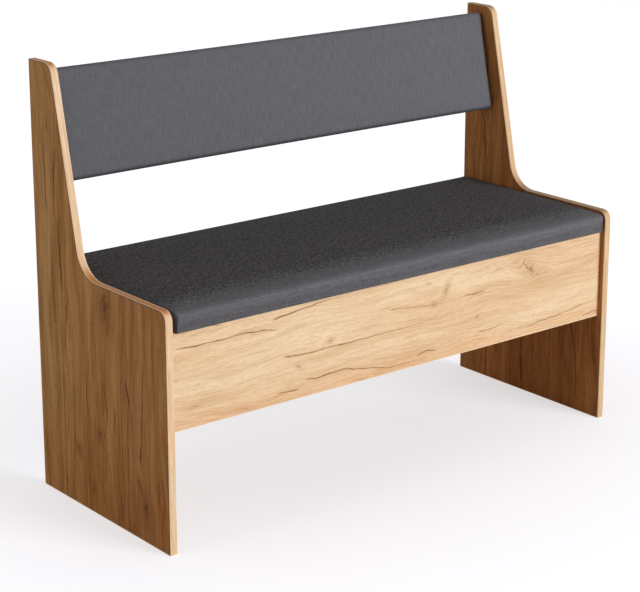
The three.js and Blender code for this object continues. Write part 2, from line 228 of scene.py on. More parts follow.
@dataclass(frozen=True)
class OakDecor(Finish):
    """Chipboard faced with melamine paper that is printed as craft oak, then pressed matt.

    The eye sees planks side by side, wide pale and warm zones that drift along the grain, thin
    darker streaks, knots with a reddish halo, and a few dark open cracks. Raw ends show chips.

    A size is a grain's length and width. A name that ends in "at" gives the values of a noise, or
    the millimetres, between which that layer sets in. A crack is a row of places along the board,
    places across it and half widths.
    """

    grain: Grain
    pale: str
    warm: str
    streak: str
    knot: str
    crack: str
    seam: str
    raw_axis: str
    span: Pair = (-560.0, 560.0)
    breadth: Pair = (225.0, 425.0)
    knots: tuple[Knot, ...] = ()
    cracks: tuple[Crack, ...] = ()
    seams: tuple[float, ...] = ()
    planks: tuple[str, ...] = ("#ffffff",)
    seams_fade: Pair = (240.0, 330.0)
    seam_strengths: Pair = (0.75, 0.2)
    # Darker towards the bottom of the board; on the left side panel this is a painted shade near
    # the floor.
    foot: str = "#ffffff"
    foot_fades: Pair = (60.0, 300.0)
    rim: float = 0.0
    # painted highlight: a paler line just above the board's lower edge
    rim_highlight_tone: str = "#f0d6ae"
    rim_height: Pair = (0.8, 2.2)
    rim_highlight_strength: float = 0.8
    wobble_size: Pair = (70.0, 16.0)
    wobble_reach: float = 10.0
    drift_size: Pair = (330.0, 110.0)
    drift_reach: float = 60.0
    zone_size: Pair = (420.0, 40.0)
    zone_at: Pair = (0.36, 0.64)
    streak_size: Pair = (120.0, 2.6)
    streak_strength: float = 0.4
    band_breadth: float = 3.0
    band_at: Pair = (0.46, 0.72)
    line_length: float = 0.7
    line_clustering: float = 0.5
    line_at: Pair = (0.78, 0.94)
    line_gain: float = 1.3
    fibre_size: Pair = (16.0, 1.3)
    fibre_at: Pair = (0.25, 0.75)
    fibre_strength: float = 0.07
    pore_size: Pair = (12.0, 0.9)
    pore_at: Pair = (0.62, 0.74)
    pore_strength: float = 0.4
    knot_strength: float = 0.8
    halo_reach: float = 2.8
    halo_strength: float = 0.5
    knot_bend: float = 0.75
    stroke_size: tuple[float, float, float] = (0.6, 0.14, 1.0)
    stroke_weight: float = 3.5
    stroke_at: Pair = (-1.80, -1.25)
    thinnest: float = 0.02
    widest: float = 10.0
    gap_at: Pair = (0.3, 1.6)
    stain_reach: float = 4.5
    stain_strength: float = 0.35
    plank_shift: float = 1.7
    chip_size: float = 2.2
    chip_tones: tuple[str, str] = ("#9a7448", "#d9bd8c")
    raw_from: float = 0.7
    seed: float = 0.0
    noise_roughness: float = 0.58
    hollow_depth: float = 0.12
    fibre_height: float = 0.05
    bump: float = 0.8
    roughness: float = 0.58
    roughness_swing: float = 0.06
    gloss: float = 0.22

    def grains(self, tree: Tree, place: Plug, size: Pair,
               detail: float = 2.0) -> Node:
        """Noise drawn out along the wood, and four times as deep as it is wide."""
        length, width = size[0] * MM, size[1] * MM
        return stretched(tree, place, (length, width, width * 4), Detail=detail,
                         Roughness=self.noise_roughness)

    def knot_layers(self, tree: Tree, place: Plug) -> tuple[Plug, Plug, Plug]:
        """Draws the knots as dark brush strokes with a halo.

        A stroke is dark where the distance from the knot's middle, in its own half sizes, less
        the height of a noise drawn out along the knot, stays under its rim.

        Args:
            tree: the finish's node tree.
            place: the place on the board, along and across.

        Returns:
            How far the grain bends, how dark the strokes are, and the halo round them.
        """
        bend: Plug = 0.0
        core: Plug = 0.0
        halo: Plug = 0.0
        for knot in self.knots:
            fading = {"To Min": knot.depth, "To Max": 0.0}
            local = add(tree, "Mapping", {
                "Vector": place, "Location": (knot.along * MM, knot.across * MM, 0.0),
                "Rotation": (0.0, 0.0, math.radians(knot.lean)),
                "Scale": (knot.half_length * MM, knot.half_width * MM, 1.0),
            }, vector_type="TEXTURE")
            far = add(tree, "VectorMath", {0: local}, operation="LENGTH").outputs["Value"]
            fall = add(tree, "MapRange", {"Value": far, "From Max": self.halo_reach, **fading},
                       interpolation_type="SMOOTHERSTEP")
            split = add(tree, "SeparateXYZ", {"Vector": local})
            pulled = add(tree, "Math", {0: fall, 1: split.outputs["Y"]}, operation="MULTIPLY")
            bend = add(tree, "Math", {0: pulled, 1: -self.knot_bend * knot.half_width * MM,
                                      2: bend}, operation="MULTIPLY_ADD")
            brush = stretched(tree, local, self.stroke_size, Detail=1.0)
            rough = add(tree, "Math", {0: brush, 1: -self.stroke_weight, 2: far},
                        operation="MULTIPLY_ADD")
            dark = add(tree, "MapRange", {"Value": rough, **between(self.stroke_at), **fading},
                       **SMOOTH)
            core = add(tree, "Math", {0: core, 1: dark}, operation="MAXIMUM")
            halo = add(tree, "Math", {0: halo, 1: fall}, operation="MAXIMUM")
        return bend, core, halo

    def drawn(self, tree: Tree, place: Plug, points: list[Pair],
              reach: Pair) -> Node:
        """A value that runs straight from point to point along the board.

        Args:
            tree: the finish's node tree.
            place: the place along the board, from 0 to 1 over its span.
            points: places along the board and values there, in millimetres.
            reach: the lowest and highest value.

        Returns:
            The node that gives the value in metres.
        """
        node = add(tree, "FloatCurve", {"Value": place})
        curve = node.mapping.curves[0]
        start, length = self.span[0], self.span[1] - self.span[0]
        spots = [((along - start) / length, (value - reach[0]) / (reach[1] - reach[0]))
                 for along, value in points]
        curve.points[0].location = (0.0, spots[0][1])
        curve.points[1].location = (1.0, spots[-1][1])
        for spot in spots:
            curve.points.new(*spot)
        for point in curve.points:
            point.handle_type = "VECTOR"
        node.mapping.update()
        return add(tree, "MapRange", {"Value": node, "To Min": reach[0] * MM,
                                      "To Max": reach[1] * MM})

    def crack_layers(self, tree: Tree, along: Plug,
                     across: Plug) -> tuple[Plug, Plug]:
        """Draws the open cracks, several one after another along each drawn line.

        A crack is dark where the distance across from its line is less than its half width
        there, which falls to nothing between two cracks.

        Args:
            tree: the finish's node tree.
            along: the place along the board.
            across: the place across it, with the grain's wobble.

        Returns:
            The cracks' core and the soft stain round them.
        """
        core: Plug = 0.0
        stain: Plug = 0.0
        place = add(tree, "MapRange", {"Value": along, **between(self.span, MM)})
        for crack in self.cracks:
            line = self.drawn(tree, place, [spot[:2] for spot in crack], self.breadth)
            widths = [(spot[0], max(spot[2], self.thinnest)) for spot in crack]
            half = self.drawn(tree, place, widths, (0.0, self.widest))
            off = distance(tree, across, line)
            dark = add(tree, "MapRange", {"Value": off, "From Max": half, **FALLING}, **SMOOTH)
            core = add(tree, "Math", {0: core, 1: dark}, operation="MAXIMUM")
            soft = add(tree, "MapRange", {"Value": off, "From Max": self.stain_reach * MM,
                                          **FALLING}, **SMOOTH)
            open_here = add(tree, "MapRange", {"Value": half, **between(self.gap_at, MM)})
            soft = add(tree, "Math", {0: soft, 1: open_here}, operation="MULTIPLY")
            stain = add(tree, "Math", {0: stain, 1: soft}, operation="MAXIMUM")
        return core, stain

    def plank_layers(self, tree: Tree, along: Plug,
                     across: Plug) -> tuple[Plug, Plug, Plug]:
        """Sets the printed planks side by side.

        Args:
            tree: the finish's node tree.
            along: the place along the board, where the seams fade.
            across: the place across it, with the grain's wobble.

        Returns:
            How far each plank's print is shifted, the planks' tone, and the seams' dark lines.
        """
        shift: Plug = self.seed
        tone: Plug = self.planks[0]
        seam: Plug = 0.0
        for number, place in enumerate(self.seams):
            beyond = add(tree, "Math", {0: across, 1: place * MM}, operation="GREATER_THAN")
            tone = painted(tree, tone, ((beyond, self.planks[number + 1]),))
            shift = add(tree, "Math", {0: beyond, 1: self.plank_shift + number, 2: shift},
                        operation="MULTIPLY_ADD")
            line = add(tree, "MapRange", {"Value": distance(tree, across, place * MM),
                                          **between(self.gap_at, MM), **FALLING})
            seam = add(tree, "Math", {0: seam, 1: line}, operation="MAXIMUM")
        strong, weak = self.seam_strengths
        faint = add(tree, "MapRange", {"Value": along, **between(self.seams_fade, MM),
                                       "To Min": strong, "To Max": weak})
        return shift, tone, add(tree, "Math", {0: seam, 1: faint}, operation="MULTIPLY")

    def raw_layer(self, tree: Tree, texture: Node) -> tuple[Plug, Plug]:
        """Shows pressed chips on the board's unfaced ends.

        Args:
            tree: the finish's node tree.
            texture: the texture coordinates.

        Returns:
            Where the board is raw, and the colour of its chips.
        """
        chips = add(tree, "TexVoronoi", {"Vector": texture.outputs["Object"],
                                         "Scale": 1.0 / (self.chip_size * MM)})
        chip = add(tree, "SeparateColor", {"Color": chips.outputs["Color"]})
        dark, light = self.chip_tones
        facing = add(tree, "SeparateXYZ", {"Vector": texture.outputs["Normal"]})
        turned = distance(tree, facing.outputs[self.raw_axis], 0.0)
        raw = add(tree, "Math", {0: turned, 1: self.raw_from}, operation="GREATER_THAN")
        return raw, painted(tree, dark, ((chip.outputs["Red"], light),))

    def shader(self, tree: Tree) -> Node:
        """The printed board, on Object coordinates.

        Args:
            tree: the material's node tree.

        Returns:
            The board's shader.
        """
        texture = add(tree, "TexCoord")
        axes = add(tree, "SeparateXYZ", {"Vector": texture.outputs["Object"]})
        along, across, depth = (axes.outputs[axis] for axis in self.grain.value)
        flat = add(tree, "CombineXYZ", {"X": along, "Y": across})
        wobble = self.grains(tree, flat, self.wobble_size, 3.0)
        wobbled = swayed(tree, across, wobble, self.wobble_reach * MM)
        near = add(tree, "CombineXYZ", {"X": along, "Y": wobbled})
        bend, core, halo = self.knot_layers(tree, near)
        crack, stain = self.crack_layers(tree, along, wobbled)
        shift, plank, seam = self.plank_layers(tree, along, wobbled)

        drift = self.grains(tree, flat, self.drift_size)
        drifted = swayed(tree, across, drift, self.drift_reach * MM)
        bent = add(tree, "Math", {0: drifted, 1: bend}, operation="ADD")
        shifted = add(tree, "Math", {0: along, 1: shift}, operation="ADD")
        grain = add(tree, "CombineXYZ", {"X": shifted, "Y": bent, "Z": depth})
        length, width = self.streak_size
        zones, broad, fine, fibres = (
            self.grains(tree, grain, size) for size in
            (self.zone_size, (length, width * self.band_breadth),
             (length * self.line_length, width), self.fibre_size))
        pores = self.grains(tree, grain, self.pore_size, 0.0)
        clustered = add(tree, "Math", {0: zones, 1: self.line_clustering, 2: fine},
                        operation="MULTIPLY_ADD")
        strength, fibrous = self.streak_strength, self.fibre_strength
        zone, band, line, fibre, pore = (
            add(tree, "MapRange", {"Value": value, **between(span), "To Min": least,
                                   "To Max": most})
            for value, span, least, most in (
                (zones, self.zone_at, 0.0, 1.0),
                (broad, self.band_at, 0.0, strength),
                (clustered, self.line_at, 0.0, strength * self.line_gain),
                (fibres, self.fibre_at, 1.0 - fibrous, 1.0 + fibrous),
                (pores, self.pore_at, 0.0, self.pore_strength)))
        streak = add(tree, "Math", {0: band, 1: line}, operation="MAXIMUM")
        ringed, stained, cored = (
            add(tree, "Math", {0: layer, 1: share}, operation="MULTIPLY") for layer, share in (
                (halo, self.halo_strength * self.knot_strength), (stain, self.stain_strength),
                (core, self.knot_strength)))
        # Darker towards the bottom of the board (on the left side panel a painted shade near the
        # floor), and a painted highlight: a paler line along the lower edge, where an eased edge
        # would catch the light.
        low = add(tree, "MapRange", {"Value": axes.outputs["Z"],
                                     **between(self.foot_fades, MM), **FALLING}, **SMOOTH)
        rim = (self.rim + self.rim_height[0], self.rim + self.rim_height[1])
        edge = add(tree, "MapRange", {"Value": axes.outputs["Z"], **between(rim, MM),
                                      "To Min": self.rim_highlight_strength, "To Max": 0.0})
        raw, chips = self.raw_layer(tree, texture)
        colour = painted(tree, self.pale, (
            (zone, self.warm), (streak, self.streak), (pore, self.streak),
            (ringed, self.streak), (stained, self.streak), (cored, self.knot),
            (crack, self.crack), (seam, self.seam)))
        colour = painted(tree, colour, ((1.0, fibre), (1.0, plank), (low, self.foot)),
                         "MULTIPLY")
        colour = painted(tree, colour, ((edge, self.rim_highlight_tone), (raw, chips)))

        hollow = add(tree, "Math", {0: crack, 1: pore}, operation="MAXIMUM")
        height = add(tree, "Math", {0: hollow, 1: -self.hollow_depth * MM},
                     operation="MULTIPLY")
        relief = add(tree, "Math", {0: fibres, 1: self.fibre_height * MM, 2: height},
                     operation="MULTIPLY_ADD")
        bump = add(tree, "Bump", {"Height": relief, "Distance": 1.0, "Strength": self.bump})
        rough = add(tree, "MapRange", {"Value": fine,
                                       "To Min": self.roughness - self.roughness_swing,
                                       "To Max": self.roughness + self.roughness_swing})
        return add(tree, "BsdfPrincipled", {
            "Base Color": colour, "Roughness": rough, "Normal": bump, "IOR": 1.5,
            "Specular IOR Level": self.gloss})


@dataclass(frozen=True)
class EdgeBand(Finish):
    """A 2 mm plastic edge band printed as oak, milled round at its two outer corners.

    The eye sees a paler stripe than the boards, with faint streaks that follow the edge, and its
    own brown plastic at both sides. On top of the arms the flat part that faces up gets a painted
    shade, deeper and warmer in tone.
    """

    pale: str
    warm: str
    streak: str
    # painted shade: the tone laid on the band's up-facing flat part
    arm_top_shade: str
    cut: str
    zone_size: Pair = (140.0, 5.0)
    zone_at: Pair = (0.35, 0.65)
    streak_size: Pair = (30.0, 1.4)
    streak_at: Pair = (0.52, 0.70)
    streak_strength: float = 0.5
    flat: Pair = (3.6, 14.8)
    flat_fade: Pair = (-1.4, 0.4)
    upright_at: Pair = (0.62, 0.92)
    arm_top_shade_strength: float = 0.92
    side_at: Pair = (0.80, 0.96)
    relief: float = 0.05
    roughness: float = 0.5
    gloss: float = 0.18

    def shader(self, tree: Tree) -> Node:
        """The printed band, on its own map: u along the edge and v across it.

        Args:
            tree: the material's node tree.

        Returns:
            The band's shader.
        """
        place = add(tree, "UVMap", uv_map=WEAVE_MAP)
        zones, streaks = (stretched(tree, place, (length * MM, width * MM, 1.0))
                          for length, width in (self.zone_size, self.streak_size))
        zone = add(tree, "MapRange", {"Value": zones, **between(self.zone_at)})
        streak = add(tree, "MapRange", {"Value": streaks, **between(self.streak_at),
                                        "To Max": self.streak_strength})
        facing = add(tree, "SeparateXYZ", {"Vector": add(tree, "TexCoord").outputs["Normal"]})
        upright = add(tree, "MapRange", {"Value": facing.outputs["Z"],
                                         **between(self.upright_at),
                                         "To Max": self.arm_top_shade_strength})
        over = add(tree, "SeparateXYZ", {"Vector": place}).outputs["Y"]
        middle, half = sum(self.flat) / 2, (self.flat[1] - self.flat[0]) / 2
        fade = (half + self.flat_fade[0], half + self.flat_fade[1])
        inside = add(tree, "MapRange", {"Value": distance(tree, over, middle * MM),
                                        **between(fade, MM), **FALLING})
        # Painted shade: the band's flat part that faces up on the arms gets a deeper, warmer tone.
        arm_top_shade = add(tree, "Math", {0: upright, 1: inside}, operation="MULTIPLY")
        side = add(tree, "MapRange", {"Value": distance(tree, facing.outputs["X"], 0.0),
                                      **between(self.side_at)})
        colour = painted(tree, self.pale, ((zone, self.warm), (streak, self.streak),
                                           (arm_top_shade, self.arm_top_shade), (side, self.cut)))
        bump = add(tree, "Bump", {"Height": streaks, "Distance": self.relief * MM,
                                  "Strength": 0.5})
        return add(tree, "BsdfPrincipled", {
            "Base Color": colour, "Normal": bump, "Roughness": self.roughness, "IOR": 1.5,
            "Specular IOR Level": self.gloss})


@dataclass(frozen=True)
class RawChipboard(Finish):
    """Unfaced chipboard: pressed softwood chips in several tones, matt and slightly rough.

    The seat's cover is drawn round the board and cut off unevenly under it, so the eye sees a
    dark cloth margin along the edges of the underside and chips inside it.
    """

    dark: str
    pale: str
    cloth: str
    half_length: float
    front: float
    rear: float
    margins: tuple[float, float, float] = (24.0, 34.0, 24.0)
    cut_scale: float = 14.0
    cut_reach: float = 9.0
    cut_at: Pair = (4.3, 4.7)
    below: float = -0.5
    thread_scale: float = 700.0
    thread_at: Pair = (0.3, 0.7)
    thread_swing: float = 0.2
    chip_size: float = 3.0
    cloth_rise: float = 3.0
    relief: float = 0.12
    roughness: float = 0.85
    gloss: float = 0.2

    def margin_layer(self, tree: Tree, texture: Node) -> Node:
        """Where the underside is covered by the cover's margin.

        A place is covered where its distance to the nearest edge, less that edge's margin and
        a few millimetres of noise, is below zero.

        Args:
            tree: the finish's node tree.
            texture: the texture coordinates.

        Returns:
            The node that gives 1 on the margin and 0 inside it.
        """
        side, front, rear = self.margins
        place = texture.outputs["Object"]
        axes = add(tree, "SeparateXYZ", {"Vector": place})
        wide = distance(tree, axes.outputs["X"], 0.0)
        near = add(tree, "Math", {0: (self.half_length - side) * MM, 1: wide},
                   operation="SUBTRACT")
        for line, sign in ((self.front + front, 1.0), (self.rear - rear, -1.0)):
            gap = add(tree, "Math", {0: axes.outputs["Y"], 1: sign, 2: -sign * line * MM},
                      operation="MULTIPLY_ADD")
            near = add(tree, "Math", {0: near, 1: gap}, operation="MINIMUM")
        cut = add(tree, "TexNoise", {"Vector": place, "Scale": self.cut_scale, "Detail": 3.0})
        uneven = add(tree, "Math", {0: cut, 1: self.cut_reach * MM, 2: near},
                     operation="MULTIPLY_ADD")
        covered = add(tree, "MapRange", {"Value": uneven, **between(self.cut_at, MM), **FALLING})
        facing = add(tree, "SeparateXYZ", {"Vector": texture.outputs["Normal"]})
        under = add(tree, "Math", {0: facing.outputs["Z"], 1: self.below},
                    operation="LESS_THAN")
        return add(tree, "Math", {0: covered, 1: under}, operation="MULTIPLY")

    def shader(self, tree: Tree) -> Node:
        """The chips and the cloth margin, on Object coordinates.

        Args:
            tree: the material's node tree.

        Returns:
            The board's shader.
        """
        texture = add(tree, "TexCoord")
        place = texture.outputs["Object"]
        margin = self.margin_layer(tree, texture)
        chips = add(tree, "TexVoronoi", {"Vector": place, "Scale": 1.0 / (self.chip_size * MM)})
        tone = add(tree, "SeparateColor", {"Color": chips.outputs["Color"]})
        weave = add(tree, "TexNoise", {"Vector": place, "Scale": self.thread_scale,
                                       "Detail": 1.0})
        thread = add(tree, "MapRange", {"Value": weave, **between(self.thread_at),
                                        "To Min": 1.0 - self.thread_swing,
                                        "To Max": 1.0 + self.thread_swing})
        cloth = painted(tree, self.cloth, ((1.0, thread),), "MULTIPLY")
        colour = painted(tree, self.dark, ((tone.outputs["Red"], self.pale), (margin, cloth)))
        height = add(tree, "Math", {0: margin, 1: self.cloth_rise, 2: tone.outputs["Green"]},
                     operation="MULTIPLY_ADD")
        bump = add(tree, "Bump", {"Height": height, "Distance": self.relief * MM,
                                  "Strength": 0.6})
        return add(tree, "BsdfPrincipled", {
            "Base Color": colour, "Roughness": self.roughness, "Normal": bump,
            "Specular IOR Level": self.gloss})


@dataclass(frozen=True)
class WovenCloth(Finish):
    """Polyester furniture cloth in plain weave with slubs, dyed anthracite.

    The eye sees a dry matt grey with thicker threads here and there in both directions. The real
    threads lie 0.5 mm apart; they are drawn coarser, so that the weave shows from a step away.
    Where the top lies flat the cloth gets a painted shade, and its mottle shows most there; faces
    that look down, where the cover turns in under a pad, get a painted shade too. Round the front
    the colour carries painted light and shade: darker towards the staples, lighter on the roll and
    darker again at the top's rear. Along the cover a painted light makes it a little paler from
    one end to the other.

    A name that ends in "at" gives the values between which that layer sets in. The tones in
    drawn are the painted light and shade near the staples, on the roll, on the flat top and at its
    rear.
    """

    deep: str
    light: str
    thread: float = 1.6
    over_at: Pair = (-0.12, 0.12)
    slub_length: float = 34.0
    slub_width: float = 1.5
    upright_slubs: float = 0.5
    level_slubs: float = 0.5
    mottle_size: float = 7.0
    mottle_stretch: float = 2.2
    mottle_roughness: float = 0.8
    mottle_distortion: float = 0.6
    mottle_strength: float = 0.3
    # painted shade laid on the flat top
    flat_top_shade: str = "#ffffff"
    level_at: Pair = (0.90, 0.99)
    flat_top_shade_at: Pair = (12.0, 90.0)
    mottle_off_flat_top: float = 0.1
    folds: tuple[float, ...] = ()
    fold_at: Pair = (0.6, 1.9)
    fold_ends_at: Pair = (-8.0, -2.0)
    fold_tone: str = "#34353d"
    shaded: str = "#a8a8a8"
    shaded_at: Pair = (-0.75, 0.0)
    length: float = 1105.0
    # painted light: the colour rises from one end of the cover to the other
    ends: Pair = (0.95, 1.05)
    # painted light and shade round the front edge and over the top
    drawn: tuple[float, float, float, float] = (1.0, 1.0, 1.0, 1.0)
    roll_at: Pair = (-36.0, -11.0)
    flat_at: Pair = (4.0, 26.0)
    rear_at: Pair = (70.0, 320.0)
    gap: float = 0.22
    gap_to: float = 0.55
    slub_rise: float = 0.6
    relief: float = 0.25
    roughness: float = 0.95
    gloss: float = 0.08
    sheen: float = 0.03

    def painted_light_layer(self, tree: Tree, along: Plug, inwards: Plug) -> Plug:
        """How pale the cover is along its length and round its front edge.

        Args:
            tree: the finish's node tree.
            along: the place along the cover's own map.
            inwards: the place across it.

        Returns:
            The factor for the cloth's colour, all painted light and shade: the tones at both ends,
            times the tones near the staples, on the roll, on the flat top and at its rear.
        """
        factor = add(tree, "MapRange", {"Value": along, "From Max": self.length * MM,
                                        "To Min": self.ends[0], "To Max": self.ends[1]})
        stapled, rolled, flat, rear = self.drawn
        for span, first, last in ((self.roll_at, stapled, rolled),
                                  (self.flat_at, 1.0, flat / rolled),
                                  (self.rear_at, 1.0, rear / flat)):
            eased = add(tree, "MapRange", {"Value": inwards, **between(span, MM),
                                           "To Min": first, "To Max": last}, **SMOOTH)
            factor = add(tree, "Math", {0: factor, 1: eased}, operation="MULTIPLY")
        return factor

    def fold_layer(self, tree: Tree, along: Plug, inwards: Plug) -> Plug:
        """Deep shade inside the folds at the front corners, where the cover is tucked together.

        Args:
            tree: the finish's node tree.
            along: the place along the cover's own map.
            inwards: the place across it.

        Returns:
            How deep the shade is: full at a fold's line, and gone a little beside it.
        """
        shade: Plug = 0.0
        for fold in self.folds:
            line = add(tree, "MapRange", {"Value": distance(tree, along, fold * MM),
                                          **between(self.fold_at, MM), **FALLING})
            shade = add(tree, "Math", {0: shade, 1: line}, operation="MAXIMUM")
        below = add(tree, "MapRange", {"Value": inwards, **between(self.fold_ends_at, MM),
                                       **FALLING})
        return add(tree, "Math", {0: shade, 1: below}, operation="MULTIPLY")

    def weave_layer(self, tree: Tree, place: Plug) -> Node:
        """The height of a plain weave, in which warp and weft lie on top by turns.

        With sines of both threads, the warp lies on top where their product is positive, and
        the height is the size of the upper thread's sine.

        Args:
            tree: the finish's node tree.
            place: the place on the cover's own map.

        Returns:
            The height, from 0 between the threads to 1 on top of them.
        """
        phase = add(tree, "VectorMath", {0: place, 3: math.pi / (self.thread * MM)},
                    operation="SCALE")
        turns = add(tree, "SeparateXYZ", {"Vector": phase})
        warp, weft = (add(tree, "Math", {0: turns.outputs[axis]}, operation="SINE")
                      for axis in ("X", "Y"))
        over = add(tree, "Math", {0: warp, 1: weft}, operation="MULTIPLY")
        side = add(tree, "MapRange", {"Value": over, **between(self.over_at)})
        return add(tree, "Mix", {"Factor": side, "A": distance(tree, weft, 0.0),
                                 "B": distance(tree, warp, 0.0)}, data_type="FLOAT")

    def shader(self, tree: Tree) -> Node:
        """The cloth, on the cover's own map in metres along its threads.

        Args:
            tree: the material's node tree.

        Returns:
            The cloth's shader.
        """
        place = add(tree, "UVMap", uv_map=WEAVE_MAP)
        split = add(tree, "SeparateXYZ", {"Vector": place})
        along, inwards = split.outputs["X"], split.outputs["Y"]
        weave = self.weave_layer(tree, place)
        slubs: Plug = 0.0
        for wide, long, strength in ((self.slub_width, self.slub_length, self.upright_slubs),
                                     (self.slub_length, self.slub_width, self.level_slubs)):
            noise = stretched(tree, place, (wide * MM, long * MM, 1.0))
            slubs = swayed(tree, slubs, noise, 2.0 * strength)
        normal = add(tree, "TexCoord").outputs["Normal"]
        upright = add(tree, "SeparateXYZ", {"Vector": normal}).outputs["Z"]
        # Painted shade on the flat top, away from its front edge; the mottle shows most there.
        level = add(tree, "MapRange", {"Value": upright, **between(self.level_at)}, **SMOOTH)
        inner = add(tree, "MapRange", {"Value": inwards, **between(self.flat_top_shade_at, MM)},
                    **SMOOTH)
        flat_top_shade_mask = add(tree, "Math", {0: level, 1: inner}, operation="MULTIPLY")
        size = (self.mottle_size * MM, self.mottle_size * self.mottle_stretch * MM, 1.0)
        mottled = stretched(tree, place, size, Roughness=self.mottle_roughness,
                            Distortion=self.mottle_distortion)
        middle = add(tree, "Math", {0: mottled, 1: -0.5}, operation="ADD")
        spread = add(tree, "MapRange", {"Value": flat_top_shade_mask, "To Min": self.mottle_off_flat_top})
        cloud = add(tree, "Math", {0: middle, 1: spread}, operation="MULTIPLY")
        fluff = add(tree, "Math", {0: slubs, 1: 0.5}, operation="ADD")
        fluff = add(tree, "Math", {0: cloud, 1: 2.0 * self.mottle_strength, 2: fluff},
                    operation="MULTIPLY_ADD")
        gap = add(tree, "MapRange", {"Value": weave, "From Max": self.gap_to,
                                     "To Min": -self.gap, "To Max": 0.0})
        tone = add(tree, "Math", {0: fluff, 1: gap}, operation="ADD", use_clamp=True)
        under = add(tree, "MapRange", {"Value": upright, **between(self.shaded_at), **FALLING})
        # Painted shade on the flat top and on faces that look down, painted shade in the folds,
        # and the painted light and shade along and round the cover all darken or lighten the
        # cloth's colour.
        colour = painted(tree, painted(tree, self.deep, ((tone, self.light),)), (
            (flat_top_shade_mask, self.flat_top_shade), (under, self.shaded),
            (self.fold_layer(tree, along, inwards), self.fold_tone),
            (1.0, self.painted_light_layer(tree, along, inwards))), "MULTIPLY")
        height = add(tree, "Math", {0: slubs, 1: self.slub_rise, 2: weave},
                     operation="MULTIPLY_ADD")
        bump = add(tree, "Bump", {"Height": height, "Distance": self.relief * MM,
                                  "Strength": 0.6})
        return add(tree, "BsdfPrincipled", {
            "Base Color": colour, "Roughness": self.roughness, "Normal": bump, "IOR": 1.5,
            "Specular IOR Level": self.gloss, "Sheen Weight": self.sheen,
            "Sheen Roughness": 0.6})


@dataclass(frozen=True)
class PlatedSteel(Finish):
    """Zinc-plated or die-cast fittings: a cool grey metal with a cloudy, slightly uneven gloss."""

    tone: str
    roughness: float
    cloud_size: float = 6.0
    cloud_at: Pair = (0.3, 0.7)
    smoother: float = 0.08
    rougher: float = 0.10
    relief: float = 0.03

    def shader(self, tree: Tree) -> Node:
        """The plated metal, on Object coordinates.

        Args:
            tree: the material's node tree.

        Returns:
            The metal's shader.
        """
        clouds = add(tree, "TexNoise", {"Vector": add(tree, "TexCoord").outputs["Object"],
                                        "Detail": 4.0, "Scale": 1.0 / (self.cloud_size * MM)})
        rough = add(tree, "MapRange", {"Value": clouds, **between(self.cloud_at),
                                       "To Min": self.roughness - self.smoother,
                                       "To Max": self.roughness + self.rougher})
        bump = add(tree, "Bump", {"Height": clouds, "Distance": self.relief * MM,
                                  "Strength": 0.4})
        return add(tree, "BsdfPrincipled", {"Base Color": self.tone, "Metallic": 1.0,
                                            "Roughness": rough, "Normal": bump})


@dataclass(frozen=True)
class PaleFloor(Finish):
    """A matt painted studio floor, with a lift for the camera alone that whitens it.

    The lift is weaker in an oval round the bench, so that its soft shadow isn't washed out, and
    this paints a soft shadow of its own on the floor there. The oval's middle and half sizes are
    in metres.
    """

    tone: str = "#d4d7dd"
    glow: str = "#fffdff"
    middle: Pair = (0.041, 0.055)
    half_size: Pair = (0.988, 0.775)
    fades: Pair = (0.173, 1.52)
    lift: Pair = (0.57, 0.755)

    def shader(self, tree: Tree) -> Node:
        """The floor, on Object coordinates.

        Args:
            tree: the material's node tree.

        Returns:
            The floor's shader.
        """
        oval = add(tree, "Mapping", {"Vector": add(tree, "TexCoord").outputs["Object"],
                                     "Location": (*self.middle, 0.0),
                                     "Scale": (*self.half_size, 1.0)}, vector_type="TEXTURE")
        far = add(tree, "VectorMath", {0: oval}, operation="LENGTH").outputs["Value"]
        # Painted shadow: the camera-only lift is weaker near the bench, which darkens the floor
        # there.
        level = add(tree, "MapRange", {"Value": far, **between(self.fades),
                                       "To Min": self.lift[0], "To Max": self.lift[1]},
                    **SMOOTH)
        seen = add(tree, "LightPath").outputs["Is Camera Ray"]
        lift = add(tree, "Math", {0: seen, 1: level}, operation="MULTIPLY")
        return add(tree, "AddShader", {0: add(tree, "BsdfDiffuse", {"Color": self.tone}),
                                       1: add(tree, "Emission", {"Color": self.glow,
                                                                 "Strength": lift})})


# Mesh helpers


def mesh_piece(name: str, points: np.ndarray, faces: list[list[int]] | np.ndarray,
               weave: np.ndarray | None = None, smooth_below: float = 35.0) -> Piece:
    """Makes an object from points and faces, with the sharp edges kept sharp.

    Args:
        name: the piece's name.
        points: one row of x, y, z in metres for each vertex.
        faces: the vertices of each face, counter-clockwise from outside.
        weave: the surface map in metres, one row for each face corner.
        smooth_below: faces that meet at less than this angle in degrees shade as one surface.

    Returns:
        The object, linked to the scene, at the origin.
    """
    mesh = bpy.data.meshes.new(name)
    mesh.from_pydata(points.tolist(), [], [list(face) for face in faces])
    if weave is not None:
        layer = mesh.uv_layers.new(name=WEAVE_MAP)
        layer.data.foreach_set("uv", weave.astype(np.float32).ravel())
    mesh.shade_smooth()
    mesh.set_sharp_from_angle(angle=math.radians(smooth_below))
    piece = bpy.data.objects.new(name, mesh)
    bpy.context.scene.collection.objects.link(piece)
    return piece


def dress(piece: Piece, finish: Material) -> None:
    """Gives a piece or a carried-over node one finish in all its material slots.

    Args:
        piece: the piece, with or without slots.
        finish: its material.
    """
    if not piece.material_slots:
        piece.data.materials.append(finish)
    for slot in piece.material_slots:
        slot.material = finish


